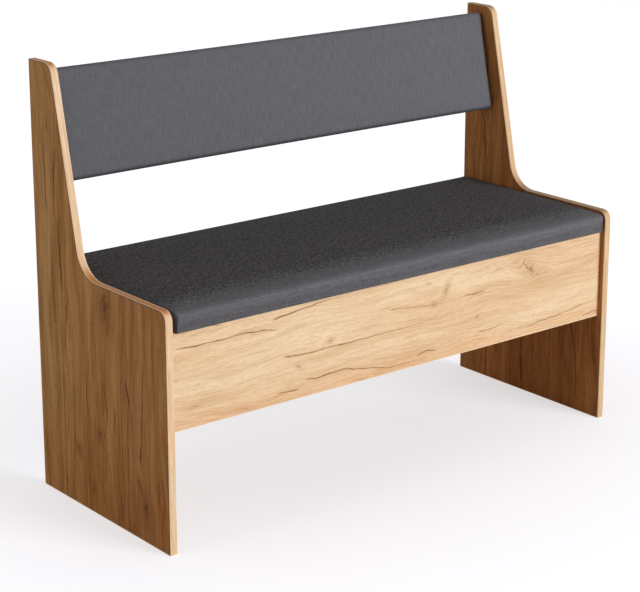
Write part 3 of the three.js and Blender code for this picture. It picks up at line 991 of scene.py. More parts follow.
def grid_faces(rows: int, columns: int, wrapped: bool) -> np.ndarray:
    """Quads between the points of a grid.

    Point (r, c) has the number r * columns + c, and each quad joins two neighbours in both
    directions. A wrapped grid joins its last column to its first.

    Args:
        rows: how many rows of points there are.
        columns: how many points a row has.
        wrapped: whether the columns close into a ring.

    Returns:
        One row of four point numbers for each quad.
    """
    steps = columns if wrapped else columns - 1
    row, column = np.meshgrid(np.arange(rows - 1), np.arange(steps), indexing="ij")
    following = (column + 1) % columns
    quads = (row * columns + column, row * columns + following,
             (row + 1) * columns + following, (row + 1) * columns + column)
    return np.stack([quad.ravel() for quad in quads], axis=1)


def end_caps(rows: int, columns: int) -> list[list[int]]:
    """Faces that close a tube of rings at its first and its last ring."""
    return [list(range(columns)), list(range(columns * (rows - 1), columns * rows))[::-1]]


def node_box(name: str) -> tuple[np.ndarray, np.ndarray]:
    """The low and the high corner of a node, in millimetres."""
    low, high = (np.array(corner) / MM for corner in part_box(name))
    return low, high


def ride_as(piece: Piece, body: str, slot: str, *nodes: str) -> Piece:
    """Fixes a new piece to its body, hides the nodes that it stands for and reports it.

    Args:
        piece: the new piece.
        body: the body that it moves with.
        slot: not used.
        nodes: the nodes that it stands for.

    Returns:
        The piece.
    """
    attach(piece, body)
    if nodes:
        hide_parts(*nodes)
    LOG.info("%s on %s, %d vertices", piece.name, body, len(piece.data.vertices))
    return piece


# Sub-assemblies


@dataclass
class SidePanels:
    """The two side panels with the band that covers their front, arm, slope and top edges."""

    nodes: dict[str, Piece]
    decors: dict[str, Material]
    bandings: dict[str, Material]
    arm_height: float = 466.0
    arm_front_radius: float = 20.0
    arm_back_radius: float = 62.0
    back_top_width: float = 76.0
    back_top_radius: float = 25.0
    band_thickness: float = 2.0
    band_round: float = 1.6
    arc_steps: int = 14
    round_steps: int = 4

    def arc(self, centre: tuple[float, float], radius: float, first: float, last: float,
            hollow: bool) -> tuple[np.ndarray, np.ndarray]:
        """Points of a round stretch of the edge: centre + radius * (cos a, sin a).

        Args:
            centre: depth and height of the arc's centre.
            radius: its radius.
            first: angle of its first point.
            last: angle of its last point.
            hollow: whether the outward side faces the centre.

        Returns:
            The points and their outward normals, as depth and height.
        """
        angle = np.linspace(first, last, self.arc_steps + 1)
        spoke = np.stack([np.cos(angle), np.sin(angle)], axis=1)
        return np.array(centre) + radius * spoke, -spoke if hollow else spoke

    def edge(self, depth: float, height: float) -> tuple[np.ndarray, np.ndarray]:
        """The banded edge, from the floor up the front, over the arm and up to the rear top.

        Args:
            depth: the panel's depth.
            height: the panel's height.

        Returns:
            Points and outward normals, as depth from the front and height.
        """
        hollow_z = self.arm_height + self.arm_back_radius
        top_z = height - self.back_top_radius
        hollow_y, top_y = (depth - self.back_top_width - (height - z) * math.tan(BACK_LEAN)
                           + radius / math.cos(BACK_LEAN)
                           for z, radius in ((hollow_z, -self.arm_back_radius),
                                             (top_z, self.back_top_radius)))
        nose = (self.arm_front_radius, self.arm_height - self.arm_front_radius)
        half, quarter = math.pi, math.pi / 2
        stretches = [
            (np.array([[0.0, 0.0]]), np.array([[-1.0, 0.0]])),
            self.arc(nose, self.arm_front_radius, half, quarter, False),
            self.arc((hollow_y, hollow_z), self.arm_back_radius, -quarter, -BACK_LEAN, True),
            self.arc((top_y, top_z), self.back_top_radius, half - BACK_LEAN, quarter, False),
            (np.array([[depth, height]]), np.array([[0.0, 1.0]])),
        ]
        return tuple(np.concatenate([part[side] for part in stretches]) for side in (0, 1))

    def profile(self, width: float) -> np.ndarray:
        """The band's section: flat where it is glued on, and milled round at both outer corners.

        Args:
            width: the board's thickness.

        Returns:
            A closed ring of points, as place across the board and height over the glue line.
        """
        turn = np.linspace(0.0, math.pi / 2, self.round_steps + 1)
        inward = self.band_round * (1.0 - np.sin(turn))
        rise = self.band_thickness - self.band_round * (1.0 - np.cos(turn))
        right = np.stack([width - inward, rise], axis=1)
        left = np.stack([inward, rise], axis=1)[::-1]
        return np.concatenate([[[0.0, 0.0]], left, right, [[width, 0.0]]])

    def band(self, side: str) -> Piece:
        """The edge band of one panel: its section carried along the panel's edge.

        A point is edge - normal * thickness + normal * rise, moved across the board by the
        section's place, so the band keeps one thickness over all rounded stretches.

        Args:
            side: left or right.

        Returns:
            The new piece, which stands for the node of the same side.
        """
        node = f"{side}_edge_band"
        low, high = node_box(node)
        points, normals = self.edge(high[1] - low[1], high[2])
        section = self.profile(high[0] - low[0])
        lift = section[:, 1] - self.band_thickness
        depth = points[:, None, :] + normals[:, None, :] * lift[None, :, None]
        across = np.broadcast_to(low[0] + section[:, 0], depth.shape[:2])
        place = np.stack([across, depth[..., 0] + low[1], depth[..., 1]], axis=-1)
        rows, columns = place.shape[:2]
        walls = grid_faces(rows, columns, True)
        ends = end_caps(rows, columns)
        run = np.concatenate([[0.0], np.cumsum(np.linalg.norm(np.diff(points, axis=0), axis=1))])
        girth = np.concatenate([[0.0], np.cumsum(
            np.linalg.norm(np.diff(section, axis=0, append=section[:1]), axis=1))])
        row, column = np.divmod(walls, columns)
        turned = np.where((column == 0) & (walls[:, :1] % columns == columns - 1), columns, column)
        weave = np.stack([run[row], girth[turned]], axis=-1).reshape(-1, 2)
        caps = np.concatenate([np.stack([np.zeros(columns), section[np.array(end) % columns, 0]],
                                        axis=1) for end in ends])
        faces = [list(quad) for quad in walls] + ends
        piece = mesh_piece(f"{side}_edge_banding", place.reshape(-1, 3) * MM, faces,
                           np.concatenate([weave, caps]) * MM)
        dress(piece, self.bandings[side])
        return ride_as(piece, "bench_frame", "oak_edge_band", node)

    def build(self) -> None:
        """Dresses the panels and makes both bands."""
        for side in ("left", "right"):
            dress(self.nodes[f"{side}_side_panel"], self.decors[side])
            self.band(side)


@dataclass
class StorageBox:
    """Front apron, rear rail and floor of the box, and the board behind the backrest."""

    nodes: dict[str, Piece]
    apron: Material
    plain: Material
    flat: Material

    def build(self) -> None:
        """Gives each board its printed face."""
        dress(self.nodes["front_apron"], self.apron)
        dress(self.nodes["rear_rail"], self.plain)
        dress(self.nodes["backrest_board"], self.plain)
        dress(self.nodes["box_floor"], self.flat)
        LOG.info("boards of the box dressed")


@dataclass
class Block:
    """The skin of a block of grid cells, given by its grid lines along, across and up.

    Each crossing of three lines on the skin is a point with a number; the others hold -1.
    """

    xs: np.ndarray
    ys: np.ndarray
    zs: np.ndarray

    def __post_init__(self) -> None:
        """Numbers the points, and notes on which line along, across and up each one lies."""
        shape = (len(self.xs), len(self.ys), len(self.zs))
        place = np.indices(shape)
        last = np.array(shape).reshape(3, 1, 1, 1) - 1
        skin = ((place == 0) | (place == last)).any(axis=0)
        self.number = np.full(shape, -1)
        self.number[skin] = np.arange(skin.sum())
        self.i, self.j, self.k = place[:, skin]
        self.under = self.k == 0

    def quads(self) -> tuple[np.ndarray, np.ndarray]:
        """Quads of the block's six sides, each turned outwards, with their map.

        The map unrolls the cover over the long edges: u is x, and v is y continued by the height
        below the top. The two ends continue u in the same way.

        Returns:
            The quads, and one map row for each of their corners.
        """
        xs, ys, fall = self.xs, self.ys, self.zs[-1] - self.zs
        gx, gy = np.meshgrid(xs, ys, indexing="ij")
        sides = [(self.number[:, :, -1], gx, gy, False), (self.number[:, :, 0], gx, gy, True)]
        for edge, flip in ((0, False), (-1, True)):
            gx, gf = np.meshgrid(xs, fall, indexing="ij")
            sides.append((self.number[:, edge, :], gx, ys[-1] + gf if edge else -gf, flip))
            gy, gf = np.meshgrid(ys, fall, indexing="ij")
            sides.append((self.number[edge, :, :], xs[-1] + gf if edge else -gf, gy, not flip))
        quads, weave = [], []
        for grid, u, v, flip in sides:
            cells = grid_faces(*grid.shape, False)
            cells = cells if flip else cells[:, ::-1]
            quads.append(grid.ravel()[cells])
            weave.append(np.stack([u.ravel()[cells], v.ravel()[cells]], axis=-1))
        return np.concatenate(quads), np.concatenate(weave).reshape(-1, 2)


COVER_CLOTH = {"quality": 5, "mass": 0.3, "tension_stiffness": 25.0,
               "compression_stiffness": 15.0, "shear_stiffness": 8.0, "bending_stiffness": 0.8,
               "use_pressure": True, "uniform_pressure_force": 4.0}


@dataclass
class PaddedForm:
    """A firm foam pad under a cover, with a pocket in its back for the board that carries it.

    In its own frame x runs along the pad, y across it and z from the board to the sitter, with
    the origin at the middle of the pad's length on its first long edge.
    """

    name: str
    length: float
    width: float
    edge_height: float
    crown: float
    roll: float
    corner: Pair
    draw: float
    pitch: float
    placed: Matrix
    pocket_inset: float = 4.7
    pocket_depth: float = 16.3
    pocket_past_ends: bool = False
    wall_step: float = 0.35
    wall_reach: float = 0.1
    side_pitch: float = 5.0
    closest: float = 0.2
    roll_steps: int = 4
    front_depth: float = 85.0
    front_fall: float = 0.0
    belly: float = 2.2
    tuck: float = 0.5
    pleat: float = 8.0
    pleat_half: float = 1.5
    pleat_depth: float = 3.0
    swell_cap: float = 2.0
    swell_frames: int = 20
    smooth_below: float = 50.0

    @property
    def straight(self) -> float:
        """The height at which the sides' straight part ends and the roll begins."""
        return self.edge_height - self.roll

    def lines(self, size: float, inset: float | None, pleated: bool) -> np.ndarray:
        """Grid lines across one side, close together over its rolls.

        Within a roll the lines lie at roll * (1 - tan a) from its inner end, for equal steps of
        the angle a up to 45 degrees; the rest is divided evenly.

        Args:
            size: length of the side.
            inset: where the pocket's wall needs two lines of its own.
            pleated: whether a corner pleat needs three lines of its own.

        Returns:
            The lines, rising from zero to the side's length.
        """
        angle = np.linspace(math.pi / 4, 0.0, self.roll_steps + 1)
        roll = self.roll * (1.0 - np.tan(angle))
        wall = [] if inset is None else [inset, inset + self.wall_step]
        fold = [self.pleat + step * self.pleat_half for step in (-1, 0, 1)] if pleated else []
        near = np.unique(np.concatenate([roll, wall, fold]))
        close = np.diff(near, prepend=-self.roll)
        near = near[(close > self.closest) | np.isin(near, wall + fold)]
        count = int(round((size - 2 * near[-1]) / self.pitch))
        middle = np.linspace(near[-1], size - near[-1], count + 1)[1:-1]
        return np.concatenate([near, middle, size - near[::-1]])

    def block(self) -> Block:
        """The grid that becomes the pad.

        Returns:
            A block with its lines close together over the rolls and at the pocket's wall.
        """
        inset = None if self.pocket_past_ends else self.pocket_inset
        angle = np.linspace(0.0, math.pi / 4, self.roll_steps + 1)
        steps = max(3, int(round(self.straight / self.side_pitch)))
        return Block(self.lines(self.length, inset, True),
                     self.lines(self.width, self.pocket_inset, False),
                     np.concatenate([np.linspace(0.0, self.straight, steps + 1)[:-1],
                                     self.straight + self.roll * np.tan(angle)]))

    def rolled(self, box: np.ndarray) -> tuple[np.ndarray, np.ndarray]:
        """Rolls the block's edges over.

        A point that lies within a roll of an edge is moved to its inner block's nearest point
        plus the roll times the unit direction between them. Round the upright corners, the
        corner's own two radii take the roll's place.

        Args:
            box: the block's points.

        Returns:
            The rolled points, and how many rolls each lies from the inner block.
        """
        size, corner = np.array([self.length, self.width]), np.array(self.corner)
        flat = box[:, :2]
        edge = np.minimum(flat, size - flat)
        scaled = np.where(edge < self.roll, edge * corner / self.roll,
                          corner + (edge - self.roll) * (size / 2 - corner)
                          / (size / 2 - self.roll))
        squeezed = np.column_stack([np.where(flat < size / 2, scaled, size - scaled), box[:, 2]])
        inner = np.clip(squeezed, [*corner, -1.0], [*(size - corner), self.straight])
        reach = np.array([*corner, self.roll])
        gone = (squeezed - inner) / reach
        span = np.linalg.norm(gone, axis=1, keepdims=True)
        return inner + np.where(span > 0, gone / np.maximum(span, TINY), 0.0) * reach, gone

    def formed(self, block: Block) -> tuple[np.ndarray, np.ndarray]:
        """Rolls the edges, crowns the top and leans the sides in.

        The top rises by crown * (1 - (2x / length)^6) * (1 - (2y / width - 1)^2) and falls
        towards the front by front_fall * (1 - y / front_depth)^2. The long sides draw in by
        draw * (1 - (2x / length)^2). All four sides lean in towards the board, against the
        outline's normal, by belly * (1 - z / edge height)^2 and a tuck at the very bottom.

        Args:
            block: the pad's grid.

        Returns:
            The points, and how far the upright pleats at the four corners pull each one in
            after it has swelled.
        """
        line = block.xs[block.i]
        points, gone = self.rolled(np.stack([line, block.ys[block.j], block.zs[block.k]],
                                            axis=1))
        along = 2 * points[:, 0] / self.length - 1
        over = 2 * points[:, 1] / self.width - 1
        lifted = np.clip((points[:, 2] - self.straight) / self.roll, 0.0, 1.0)
        points[:, 2] += self.crown * lifted * (1 - along ** 6) * (1 - over ** 2)
        eased = np.clip(1 - np.clip(points[:, 1], 0.0, None) / self.front_depth, 0.0, 1.0)
        points[:, 2] -= self.front_fall * lifted * eased ** 2
        points[:, 1] -= over * self.draw * (1 - along ** 2)
        points[:, 0] -= along * self.draw * (1 - over ** 2)
        leaning = self.belly * np.clip(1 - points[:, 2] / self.edge_height, 0.0, 1.0) ** 2
        outward = gone[:, :2] / np.maximum(np.linalg.norm(gone[:, :2], axis=1), TINY)[:, None]
        points[:, :2] -= outward * (leaning + self.tuck * block.under)[:, None]
        fold = np.abs(np.minimum(line, self.length - line) - self.pleat)
        folded = ((fold < self.pleat_half / 2)
                  & ((block.j == 0) | (block.j == len(block.ys) - 1)))
        pleats = np.zeros_like(points)
        pleats[:, 1] = -np.sign(over) * self.pleat_depth * folded * (1 - lifted)
        return points, pleats

    def pocketed(self, block: Block, points: np.ndarray) -> np.ndarray:
        """Sinks the pocket for the board into the pad's back.

        Under the pad the points are spread evenly from the outline to the inset, and those
        inside it rise to the pocket's depth. A pocket that runs past the ends lifts the lower
        part of both end faces by depth * (1 - z / edge height) too.

        Args:
            block: the pad's grid.
            points: the points with their outline formed.

        Returns:
            The points with the pocket.
        """
        inset = self.pocket_inset
        spread, inside, deep = points.copy(), block.under.copy(), block.under.copy()
        for axis, lines, size in ((0, block.xs, self.length), (1, block.ys, self.width)):
            place = (block.i, block.j)[axis]
            spot = lines[place]
            lower = spot < size / 2
            edge = np.minimum(spot, size - spot)
            outer = np.where(lower, 0, len(lines) - 1)
            ring = (block.number[outer, block.j, 0] if axis == 0
                    else block.number[block.i, outer, 0])
            rim = np.where(lower, points[ring, axis], size - points[ring, axis])
            off = np.where(edge < inset, rim + (inset - rim) * edge / inset, edge)
            spread[:, axis] = np.where(lower, off, size - off)
            inside &= (place > 0) & (place < len(lines) - 1)
            if axis == 1 or not self.pocket_past_ends:
                deep &= edge > inset + self.wall_reach
        points = np.where(inside[:, None], spread, points)
        points[:, 2] = np.where(deep, self.pocket_depth, points[:, 2])
        if self.pocket_past_ends:
            past = ((block.i == 0) | (block.i == len(block.xs) - 1)) & ~block.under
            past &= edge > inset + self.wall_reach
            lift = self.pocket_depth * np.clip(1 - points[:, 2] / self.edge_height, 0.0, 1.0)
            points[:, 2] += lift * past
        return points

    def swell(self, piece: Piece, rest: np.ndarray, held: np.ndarray) -> np.ndarray:
        """Lets the cover swell under the foam's pressure, and caps how far a point moves.

        Args:
            piece: the pad's object, which keeps no simulation afterwards.
            rest: the points before, in metres.
            held: whether each point is held by the board.

        Returns:
            The points afterwards, in metres.
        """
        group = piece.vertex_groups.new(name="stapled")
        group.add(np.flatnonzero(held).tolist(), 1.0, "REPLACE")
        cloth = piece.modifiers.new("cover", "CLOTH")
        for name, value in COVER_CLOTH.items():
            setattr(cloth.settings, name, value)
        cloth.settings.effector_weights.gravity = 0.0
        cloth.settings.vertex_group_mass = group.name
        scene = bpy.context.scene
        for frame_number in range(1, self.swell_frames + 1):
            scene.frame_set(frame_number)
        posed = piece.evaluated_get(bpy.context.evaluated_depsgraph_get())
        moved = np.empty(len(rest) * 3, np.float32)
        posed.data.vertices.foreach_get("co", moved)
        piece.modifiers.remove(cloth)
        piece.vertex_groups.remove(group)
        scene.frame_set(1)
        step = moved.reshape(-1, 3) - rest
        size = np.linalg.norm(step, axis=1, keepdims=True)
        LOG.info("%s swells by up to %.1f mm, %.1f mm on average", piece.name,
                 size.max() / MM, size.mean() / MM)
        cap = self.swell_cap * MM
        return rest + step * cap * np.tanh(size / cap) / np.maximum(size, TINY)

    def build(self, finish: Material) -> Piece:
        """Makes the pad.

        Args:
            finish: the cover's finish.

        Returns:
            The swelled and pleated pad, at its place.
        """
        block = self.block()
        shell, pleats = self.formed(block)
        shell = self.pocketed(block, shell)
        shell[:, 0] -= self.length / 2
        quads, weave = block.quads()
        turn = np.array(self.placed)
        points = shell * MM @ turn[:3, :3].T + turn[:3, 3]
        piece = mesh_piece(self.name, points, quads, weave * MM, self.smooth_below)
        points = self.swell(piece, points, block.under)
        points = points + pleats * MM @ turn[:3, :3].T
        piece.data.vertices.foreach_set("co", points.astype(np.float32).ravel())
        piece.data.update()
        smooth = piece.modifiers.new("fine", "SUBSURF")
        smooth.levels = smooth.render_levels = 1
        smooth.boundary_smooth = "PRESERVE_CORNERS"
        dress(piece, finish)
        return piece


@dataclass
class Upholstery:
    """The padded seat and the padded backrest.

    The seat's cover is a little longer and deeper than the node it stands for, so that its draw
    and its lean end flush with it. The backrest is measured down the slope of the side panels.
    """

    nodes: dict[str, Piece]
    seat_cloth: Material
    backrest_cloth: Material
    foam_fill: float = 0.85
    seat_crown: float = 4.0
    seat_longer: float = 1.0
    seat_deeper: float = 2.86
    backrest_height: float = 220.0
    backrest_edge: float = 41.0
    board_thickness: float = 16.0
    cover_wrap: float = 5.0

    def seat(self) -> Piece:
        """Makes the seat cushion's cover over its board, between the side panels.

        Returns:
            The new piece, which lifts with the lid.
        """
        low, high = node_box("seat_cushion")
        length, width, height = high - low
        form = PaddedForm(
            name="seat_cushion_cover", length=length + self.seat_longer,
            width=width + self.seat_deeper, edge_height=height - self.seat_crown,
            crown=self.seat_crown, roll=10.0, corner=(5.0, 13.0), draw=1.5, pitch=9.0,
            front_fall=4.0, placed=Matrix.Translation(Vector((0.0, low[1], low[2])) * MM))
        piece = form.build(self.seat_cloth)
        return ride_as(piece, "seat_lid", "seat_cloth", "seat_cushion")

    def backrest(self) -> Piece:
        """Makes the backrest pad's cover over its board, leaning back with the side panels.

        Returns:
            The new piece, which stays with the frame.
        """
        board = node_box("backrest_board")[0]
        low, high = node_box("backrest_pad")
        slope = np.array([0.0, math.sin(BACK_LEAN), math.cos(BACK_LEAN)])
        behind = np.array([0.0, self.board_thickness * math.cos(BACK_LEAN), 0.0])
        foot = np.array([0.0, board[1], board[2]]) + behind - self.cover_wrap * slope
        turn = Matrix.Rotation(math.pi / 2 - BACK_LEAN, 4, "X")
        form = PaddedForm(
            name="backrest_pad_cover", length=high[0] - low[0], width=self.backrest_height,
            edge_height=self.backrest_edge, crown=3.0, roll=12.0, corner=(6.0, 11.0), draw=1.0,
            pitch=8.0, pocket_past_ends=True, pleat_depth=0.0,
            placed=Matrix.Translation(Vector(foot) * MM) @ turn)
        piece = form.build(self.backrest_cloth)
        return ride_as(piece, "bench_frame", "backrest_cloth", "backrest_pad")

    def build(self, chipboard: Material) -> None:
        """Makes both pads and dresses the seat's board."""
        self.seat()
        self.backrest()
        dress(self.nodes["seat_board"], chipboard)


@dataclass
class Staples:
    """Wire staples that hold the seat's cover under its board, one row along each edge."""

    wire_finish: Material
    crown: float = 10.0
    wire_width: float = 1.2
    wire_height: float = 0.34
    end_drop: float = 0.8
    crown_steps: int = 6
    round_steps: int = 4
    pitch: float = 52.0
    from_edge: float = 12.0
    from_front: float = 28.0
    from_ends: float = 40.0
    side_from_front: float = 60.0
    side_from_rear: float = 50.0
    leaf_from: float = 340.0
    leaf_to: float = 425.0
    wander_step: float = 2.4
    wander: float = 1.5
    wander_turn: float = 0.12

    def places(self) -> tuple[np.ndarray, np.ndarray]:
        """Middles of the staples and the angle of each, with the hinges' leaves left clear.

        Returns:
            One row of x and y in millimetres for each staple, and the angles of their crowns.
        """
        low, high = node_box("seat_board")
        count_x, count_y = ((high - low)[:2] / self.pitch).astype(int)
        xs = np.linspace(low[0] + self.from_ends, high[0] - self.from_ends, count_x)
        ys = np.linspace(low[1] + self.side_from_front, high[1] - self.side_from_rear, count_y)
        rear = xs[(np.abs(xs) < self.leaf_from) | (np.abs(xs) > self.leaf_to)]
        front_row = np.stack([xs, np.full_like(xs, low[1] + self.from_front)], axis=1)
        rear_row = np.stack([rear, np.full_like(rear, high[1] - self.from_edge)], axis=1)
        sides = [np.stack([np.full_like(ys, x), ys], axis=1)
                 for x in (low[0] + self.from_edge, high[0] - self.from_edge)]
        middles = np.concatenate([front_row, rear_row, *sides])
        angles = np.concatenate([np.zeros(len(xs) + len(rear)),
                                 np.full(2 * len(ys), math.pi / 2)])
        off = np.sin(np.arange(len(middles)) * self.wander_step)
        return middles + off[:, None] * self.wander, angles + off * self.wander_turn

    def build(self) -> Piece:
        """Makes all staples as one mesh.

        One staple is a half-round wire: at place s from -1 to 1 along its crown and angle a from
        0 to 180 degrees round it, the point is (s * crown / 2, cos a * width / 2,
        -sin a * height * (1 - end_drop * s^8)), so both ends dip into the board.

        Returns:
            The new piece.
        """
        along = np.linspace(-1.0, 1.0, self.crown_steps + 1)
        around = np.linspace(0.0, math.pi, self.round_steps + 1)
        s, a = np.meshgrid(along, around, indexing="ij")
        one = np.stack([s * self.crown / 2, np.cos(a) * self.wire_width / 2,
                        -np.sin(a) * self.wire_height * (1.0 - self.end_drop * s ** 8)],
                       axis=-1).reshape(-1, 3)
        middles, angles = self.places()
        turn = np.stack([np.cos(angles), -np.sin(angles), np.sin(angles), np.cos(angles)],
                        axis=1).reshape(-1, 2, 2)
        flat = np.einsum("nij,pj->npi", turn, one[:, :2]) + middles[:, None, :]
        level = node_box("seat_board")[0][2]
        height = np.broadcast_to(one[:, 2] + level, flat.shape[:2])
        points = np.concatenate([flat, height[..., None]], axis=-1).reshape(-1, 3)
        rows, columns = s.shape
        walls = grid_faces(rows, columns, True)[:, ::-1]
        faces = []
        for start in range(0, len(points), rows * columns):
            faces += (walls + start).tolist()
            faces += [[start + point for point in cap] for cap in end_caps(rows, columns)]
        piece = mesh_piece("seat_cover_staples", points * MM, faces)
        dress(piece, self.wire_finish)
        return ride_as(piece, "seat_lid", "hinge_steel")


@dataclass
class Fittings:
    """Cams, bolts, hinges and screws."""

    nodes: dict[str, Piece]
    zinc: Material
    die_cast: Material

    def build(self) -> None:
        """Gives the die-cast finish to each node named as a cam, and the zinc finish to each named
        as a bolt or a hinge part.
        """
        for name, node in self.nodes.items():
            if "_cam_" in name:
                dress(node, self.die_cast)
            elif "_bolt_" in name or "_hinge_" in name:
                dress(node, self.zinc)
        LOG.info("fittings dressed")


@dataclass(frozen=True)
class Lamp:
    """A square soft lamp, aimed at the middle of the bench.

    Its turn is its direction in degrees from the front towards the right, its rise the height
    angle, its distance from the target and its size are in millimetres. A lamp of level 1 lights
    a surface that faces it so that its colour shows as written.
    """

    name: str
    turn: float
    rise: float
    distance: float
    size: float
    level: float

    def build(self, target: Vector) -> None:
        """Sets up the lamp, whose power is its level times pi squared times distance squared.

        Args:
            target: the point that the lamp looks at, in millimetres.
        """
        light = bpy.data.lights.new(self.name, "AREA")
        light.shape = "SQUARE"
        light.size = self.size * MM
        light.energy = self.level * (math.pi * self.distance * MM) ** 2
        turn, rise = math.radians(self.turn), math.radians(self.rise)
        towards = Vector((math.cos(rise) * math.sin(turn), -math.cos(rise) * math.cos(turn),
                          math.sin(rise)))
        holder = bpy.data.objects.new(self.name, light)
        holder.location = (target + towards * self.distance) * MM
        holder.rotation_euler = (-towards).to_track_quat("-Z", "Y").to_euler()
        bpy.context.scene.collection.objects.link(holder)


@dataclass
class Studio:
    """A pale floor, a white surround, a large soft lamp from the front right and the camera."""

    camera_place: tuple[float, float, float] = (-2374.3, -2893.0, 1493.7)
    camera_turn: float = -38.827
    camera_tilt: float = 15.298
    focal_length: float = 107.5
    sensor_width: float = 36.0
    shift_up: float = -0.10
    farthest: float = 200000.0
    floor_size: float = 60000.0
    surround: float = 0.24
    target: tuple[float, float, float] = (0.0, 0.0, 420.0)
    lamps: tuple[Lamp, ...] = (Lamp("key", 22.0, 10.5, 12000.0, 6000.0, 0.86),
                               Lamp("left fill", -92.0, 4.0, 8000.0, 2500.0, 0.13),
                               Lamp("rear fill", 175.0, 12.0, 8000.0, 4000.0, 0.14))

    def camera(self) -> None:
        """Sets up the camera at the photograph's viewing angle."""
        lens = bpy.data.cameras.new("camera")
        lens.lens = self.focal_length
        lens.sensor_width = self.sensor_width
        lens.shift_y = self.shift_up
        lens.clip_end = self.farthest * MM
        camera = bpy.data.objects.new("camera", lens)
        camera.location = Vector(self.camera_place) * MM
        camera.rotation_euler = (math.radians(90.0 - self.camera_tilt), 0.0,
                                 math.radians(self.camera_turn))
        bpy.context.scene.collection.objects.link(camera)
        bpy.context.scene.camera = camera

    def surroundings(self) -> None:
        """Sets up the white surround, seen as plain white and lighting the bench more gently."""
        world = bpy.data.worlds.new("surround")
        world.use_nodes = True
        tree = world.node_tree
        tree.nodes.clear()
        path = add(tree, "LightPath")
        seen = path.outputs["Is Camera Ray"]
        for ray in ("Is Glossy Ray", "Is Transmission Ray"):
            seen = add(tree, "Math", {0: seen, 1: path.outputs[ray]}, operation="MAXIMUM")
        strength = add(tree, "MapRange", {"Value": seen, "To Min": self.surround})
        sky = add(tree, "Background", {"Color": "#ffffff", "Strength": strength})
        add(tree, "OutputWorld", {"Surface": sky})
        bpy.context.scene.world = world

    def floor(self) -> None:
        """Lays the floor as stage round the bench."""
        corners = np.array([[-1, -1, 0], [1, -1, 0], [1, 1, 0], [-1, 1, 0]])
        piece = mesh_piece("floor", corners * self.floor_size / 2 * MM, [[0, 1, 2, 3]])
        dress(piece, PaleFloor("pale_floor").material())

    def build(self) -> None:
        """Builds the whole studio."""
        self.camera()
        for lamp in self.lamps:
            lamp.build(Vector(self.target))
        self.surroundings()
        self.floor()
        bpy.context.scene.view_settings.view_transform = "Standard"


# The bench's own finishes: prints and dyes, with knots and cracks listed one by one


PRINT = dict(pale="#f4d7b0", warm="#edc79e", streak="#ca9c6a", knot="#7d4f2b",
             crack="#865638", seam="#a06c3e", raw_axis="X")
INNER_PRINT = PRINT | dict(pale="#d9b182", warm="#c8986a", streak="#9c6c42", rim=-10.0)
# The side panels' print is darker and more saturated than the apron's, partly a painted shade for
# their side faces, and the right panel's is darker still, a painted shade for its inner face.
PANEL_PRINT = dict(streak="#7d4920", knot="#4a260e", crack="#53301a", seam="#66391a",
                   span=(0.0, 862.0), breadth=(-225.0, 225.0), raw_axis="Z", gloss=0.14)
APRON_OAK = OakDecor(
    "oak_decor_apron", Grain.ALONG_AND_UPRIGHT, **PRINT, rim=232.0, seed=0.6,
    foot="#fdf3ec", foot_fades=(236.0, 268.0),
    knots=(Knot(346, 376, 38, 17, -34), Knot(111, 374, 17, 6, 64), Knot(78, 351, 8, 5),
           Knot(64, 396, 7, 3, -10), Knot(199, 301, 5, 4), Knot(-187, 331, 10, 5, 10),
           Knot(-264, 296, 9, 4, -20), Knot(-505, 271, 20, 4, 5, 0.7),
           Knot(-430, 326, 34, 4, 6, 0.25), Knot(-388, 240, 24, 4, -12, 0.5)),
    cracks=(((-550, 390, 0), (-535, 388, 1.1), (-497, 386, 1.5), (-445, 386, 1.3),
             (-413, 388, 1.1), (-385, 387, 1.8), (-348, 385, 1.9), (-302, 378, 0),
             (160, 352, 0), (168, 353, 1.3), (186, 352, 1.7), (212, 354, 1.2),
             (222, 355, 0), (236, 388, 0.5), (261, 392, 0.8), (278, 394, 0.3),
             (300, 394, 0)),
            ((-326, 400, 0), (-318, 401, 2.4), (-281, 405, 2.2), (-227, 411, 1.3),
             (-190, 412, 1.1), (-150, 413, 0), (34, 253, 0), (43, 255, 1.4),
             (59, 258, 1.5), (81, 255, 0.9), (92, 254, 0), (503, 240, 0),
             (512, 241, 1.0), (553, 246, 1.3)),
            ((-304, 322, 0), (-292, 321, 1.6), (-227, 317, 1.7), (-190, 318, 1.5),
             (-124, 318, 1.3), (-73, 318, 1.3), (8, 317, 0.7), (60, 322, 0.4),
             (111, 330, 0)),
            ((-250, 267, 0), (-240, 265, 1.7), (-222, 264, 1.9), (-190, 266, 2.0),
             (-152, 265, 1.4), (-89, 254, 1.1), (-37, 243, 0.9), (43, 243, 0.5),
             (72, 245, 0), (196, 267, 0), (204, 267, 1.0), (236, 268, 1.3),
             (263, 271, 0.8), (272, 271, 0), (330, 250, 0), (342, 251, 0.6),
             (373, 255, 1.0), (432, 257, 0.8), (472, 262, 0.9), (500, 268, 0.9),
             (529, 269, 0.5), (540, 269, 0)),
            ((-470, 418, 0), (-450, 416, 1.6), (-440, 416, 0), (-318, 255, 0),
             (-306, 253, 1.8), (-268, 250, 1.4), (-262, 250, 0), (-40, 362, 0),
             (-30, 362, 1.0), (60, 352, 0.8), (80, 350, 0))))
BOARD_OAK = OakDecor(
    "oak_decor_boards", Grain.ALONG_AND_UPRIGHT, **INNER_PRINT, seed=5.3,
    breadth=(225.0, 865.0),
    knots=(Knot(-340, 330, 16, 9), Knot(260, 300, 11, 6), Knot(120, 770, 14, 8)),
    cracks=(((-190, 290, 0), (-170, 291, 1.8), (-60, 293, 1.4), (-40, 293, 0),
             (270, 381, 0), (300, 380, 1.7), (375, 378, 1.2), (395, 378, 0)),))
FLOOR_OAK = OakDecor("oak_decor_floor", Grain.ALONG_AND_FLAT, **INNER_PRINT, seed=9.1)
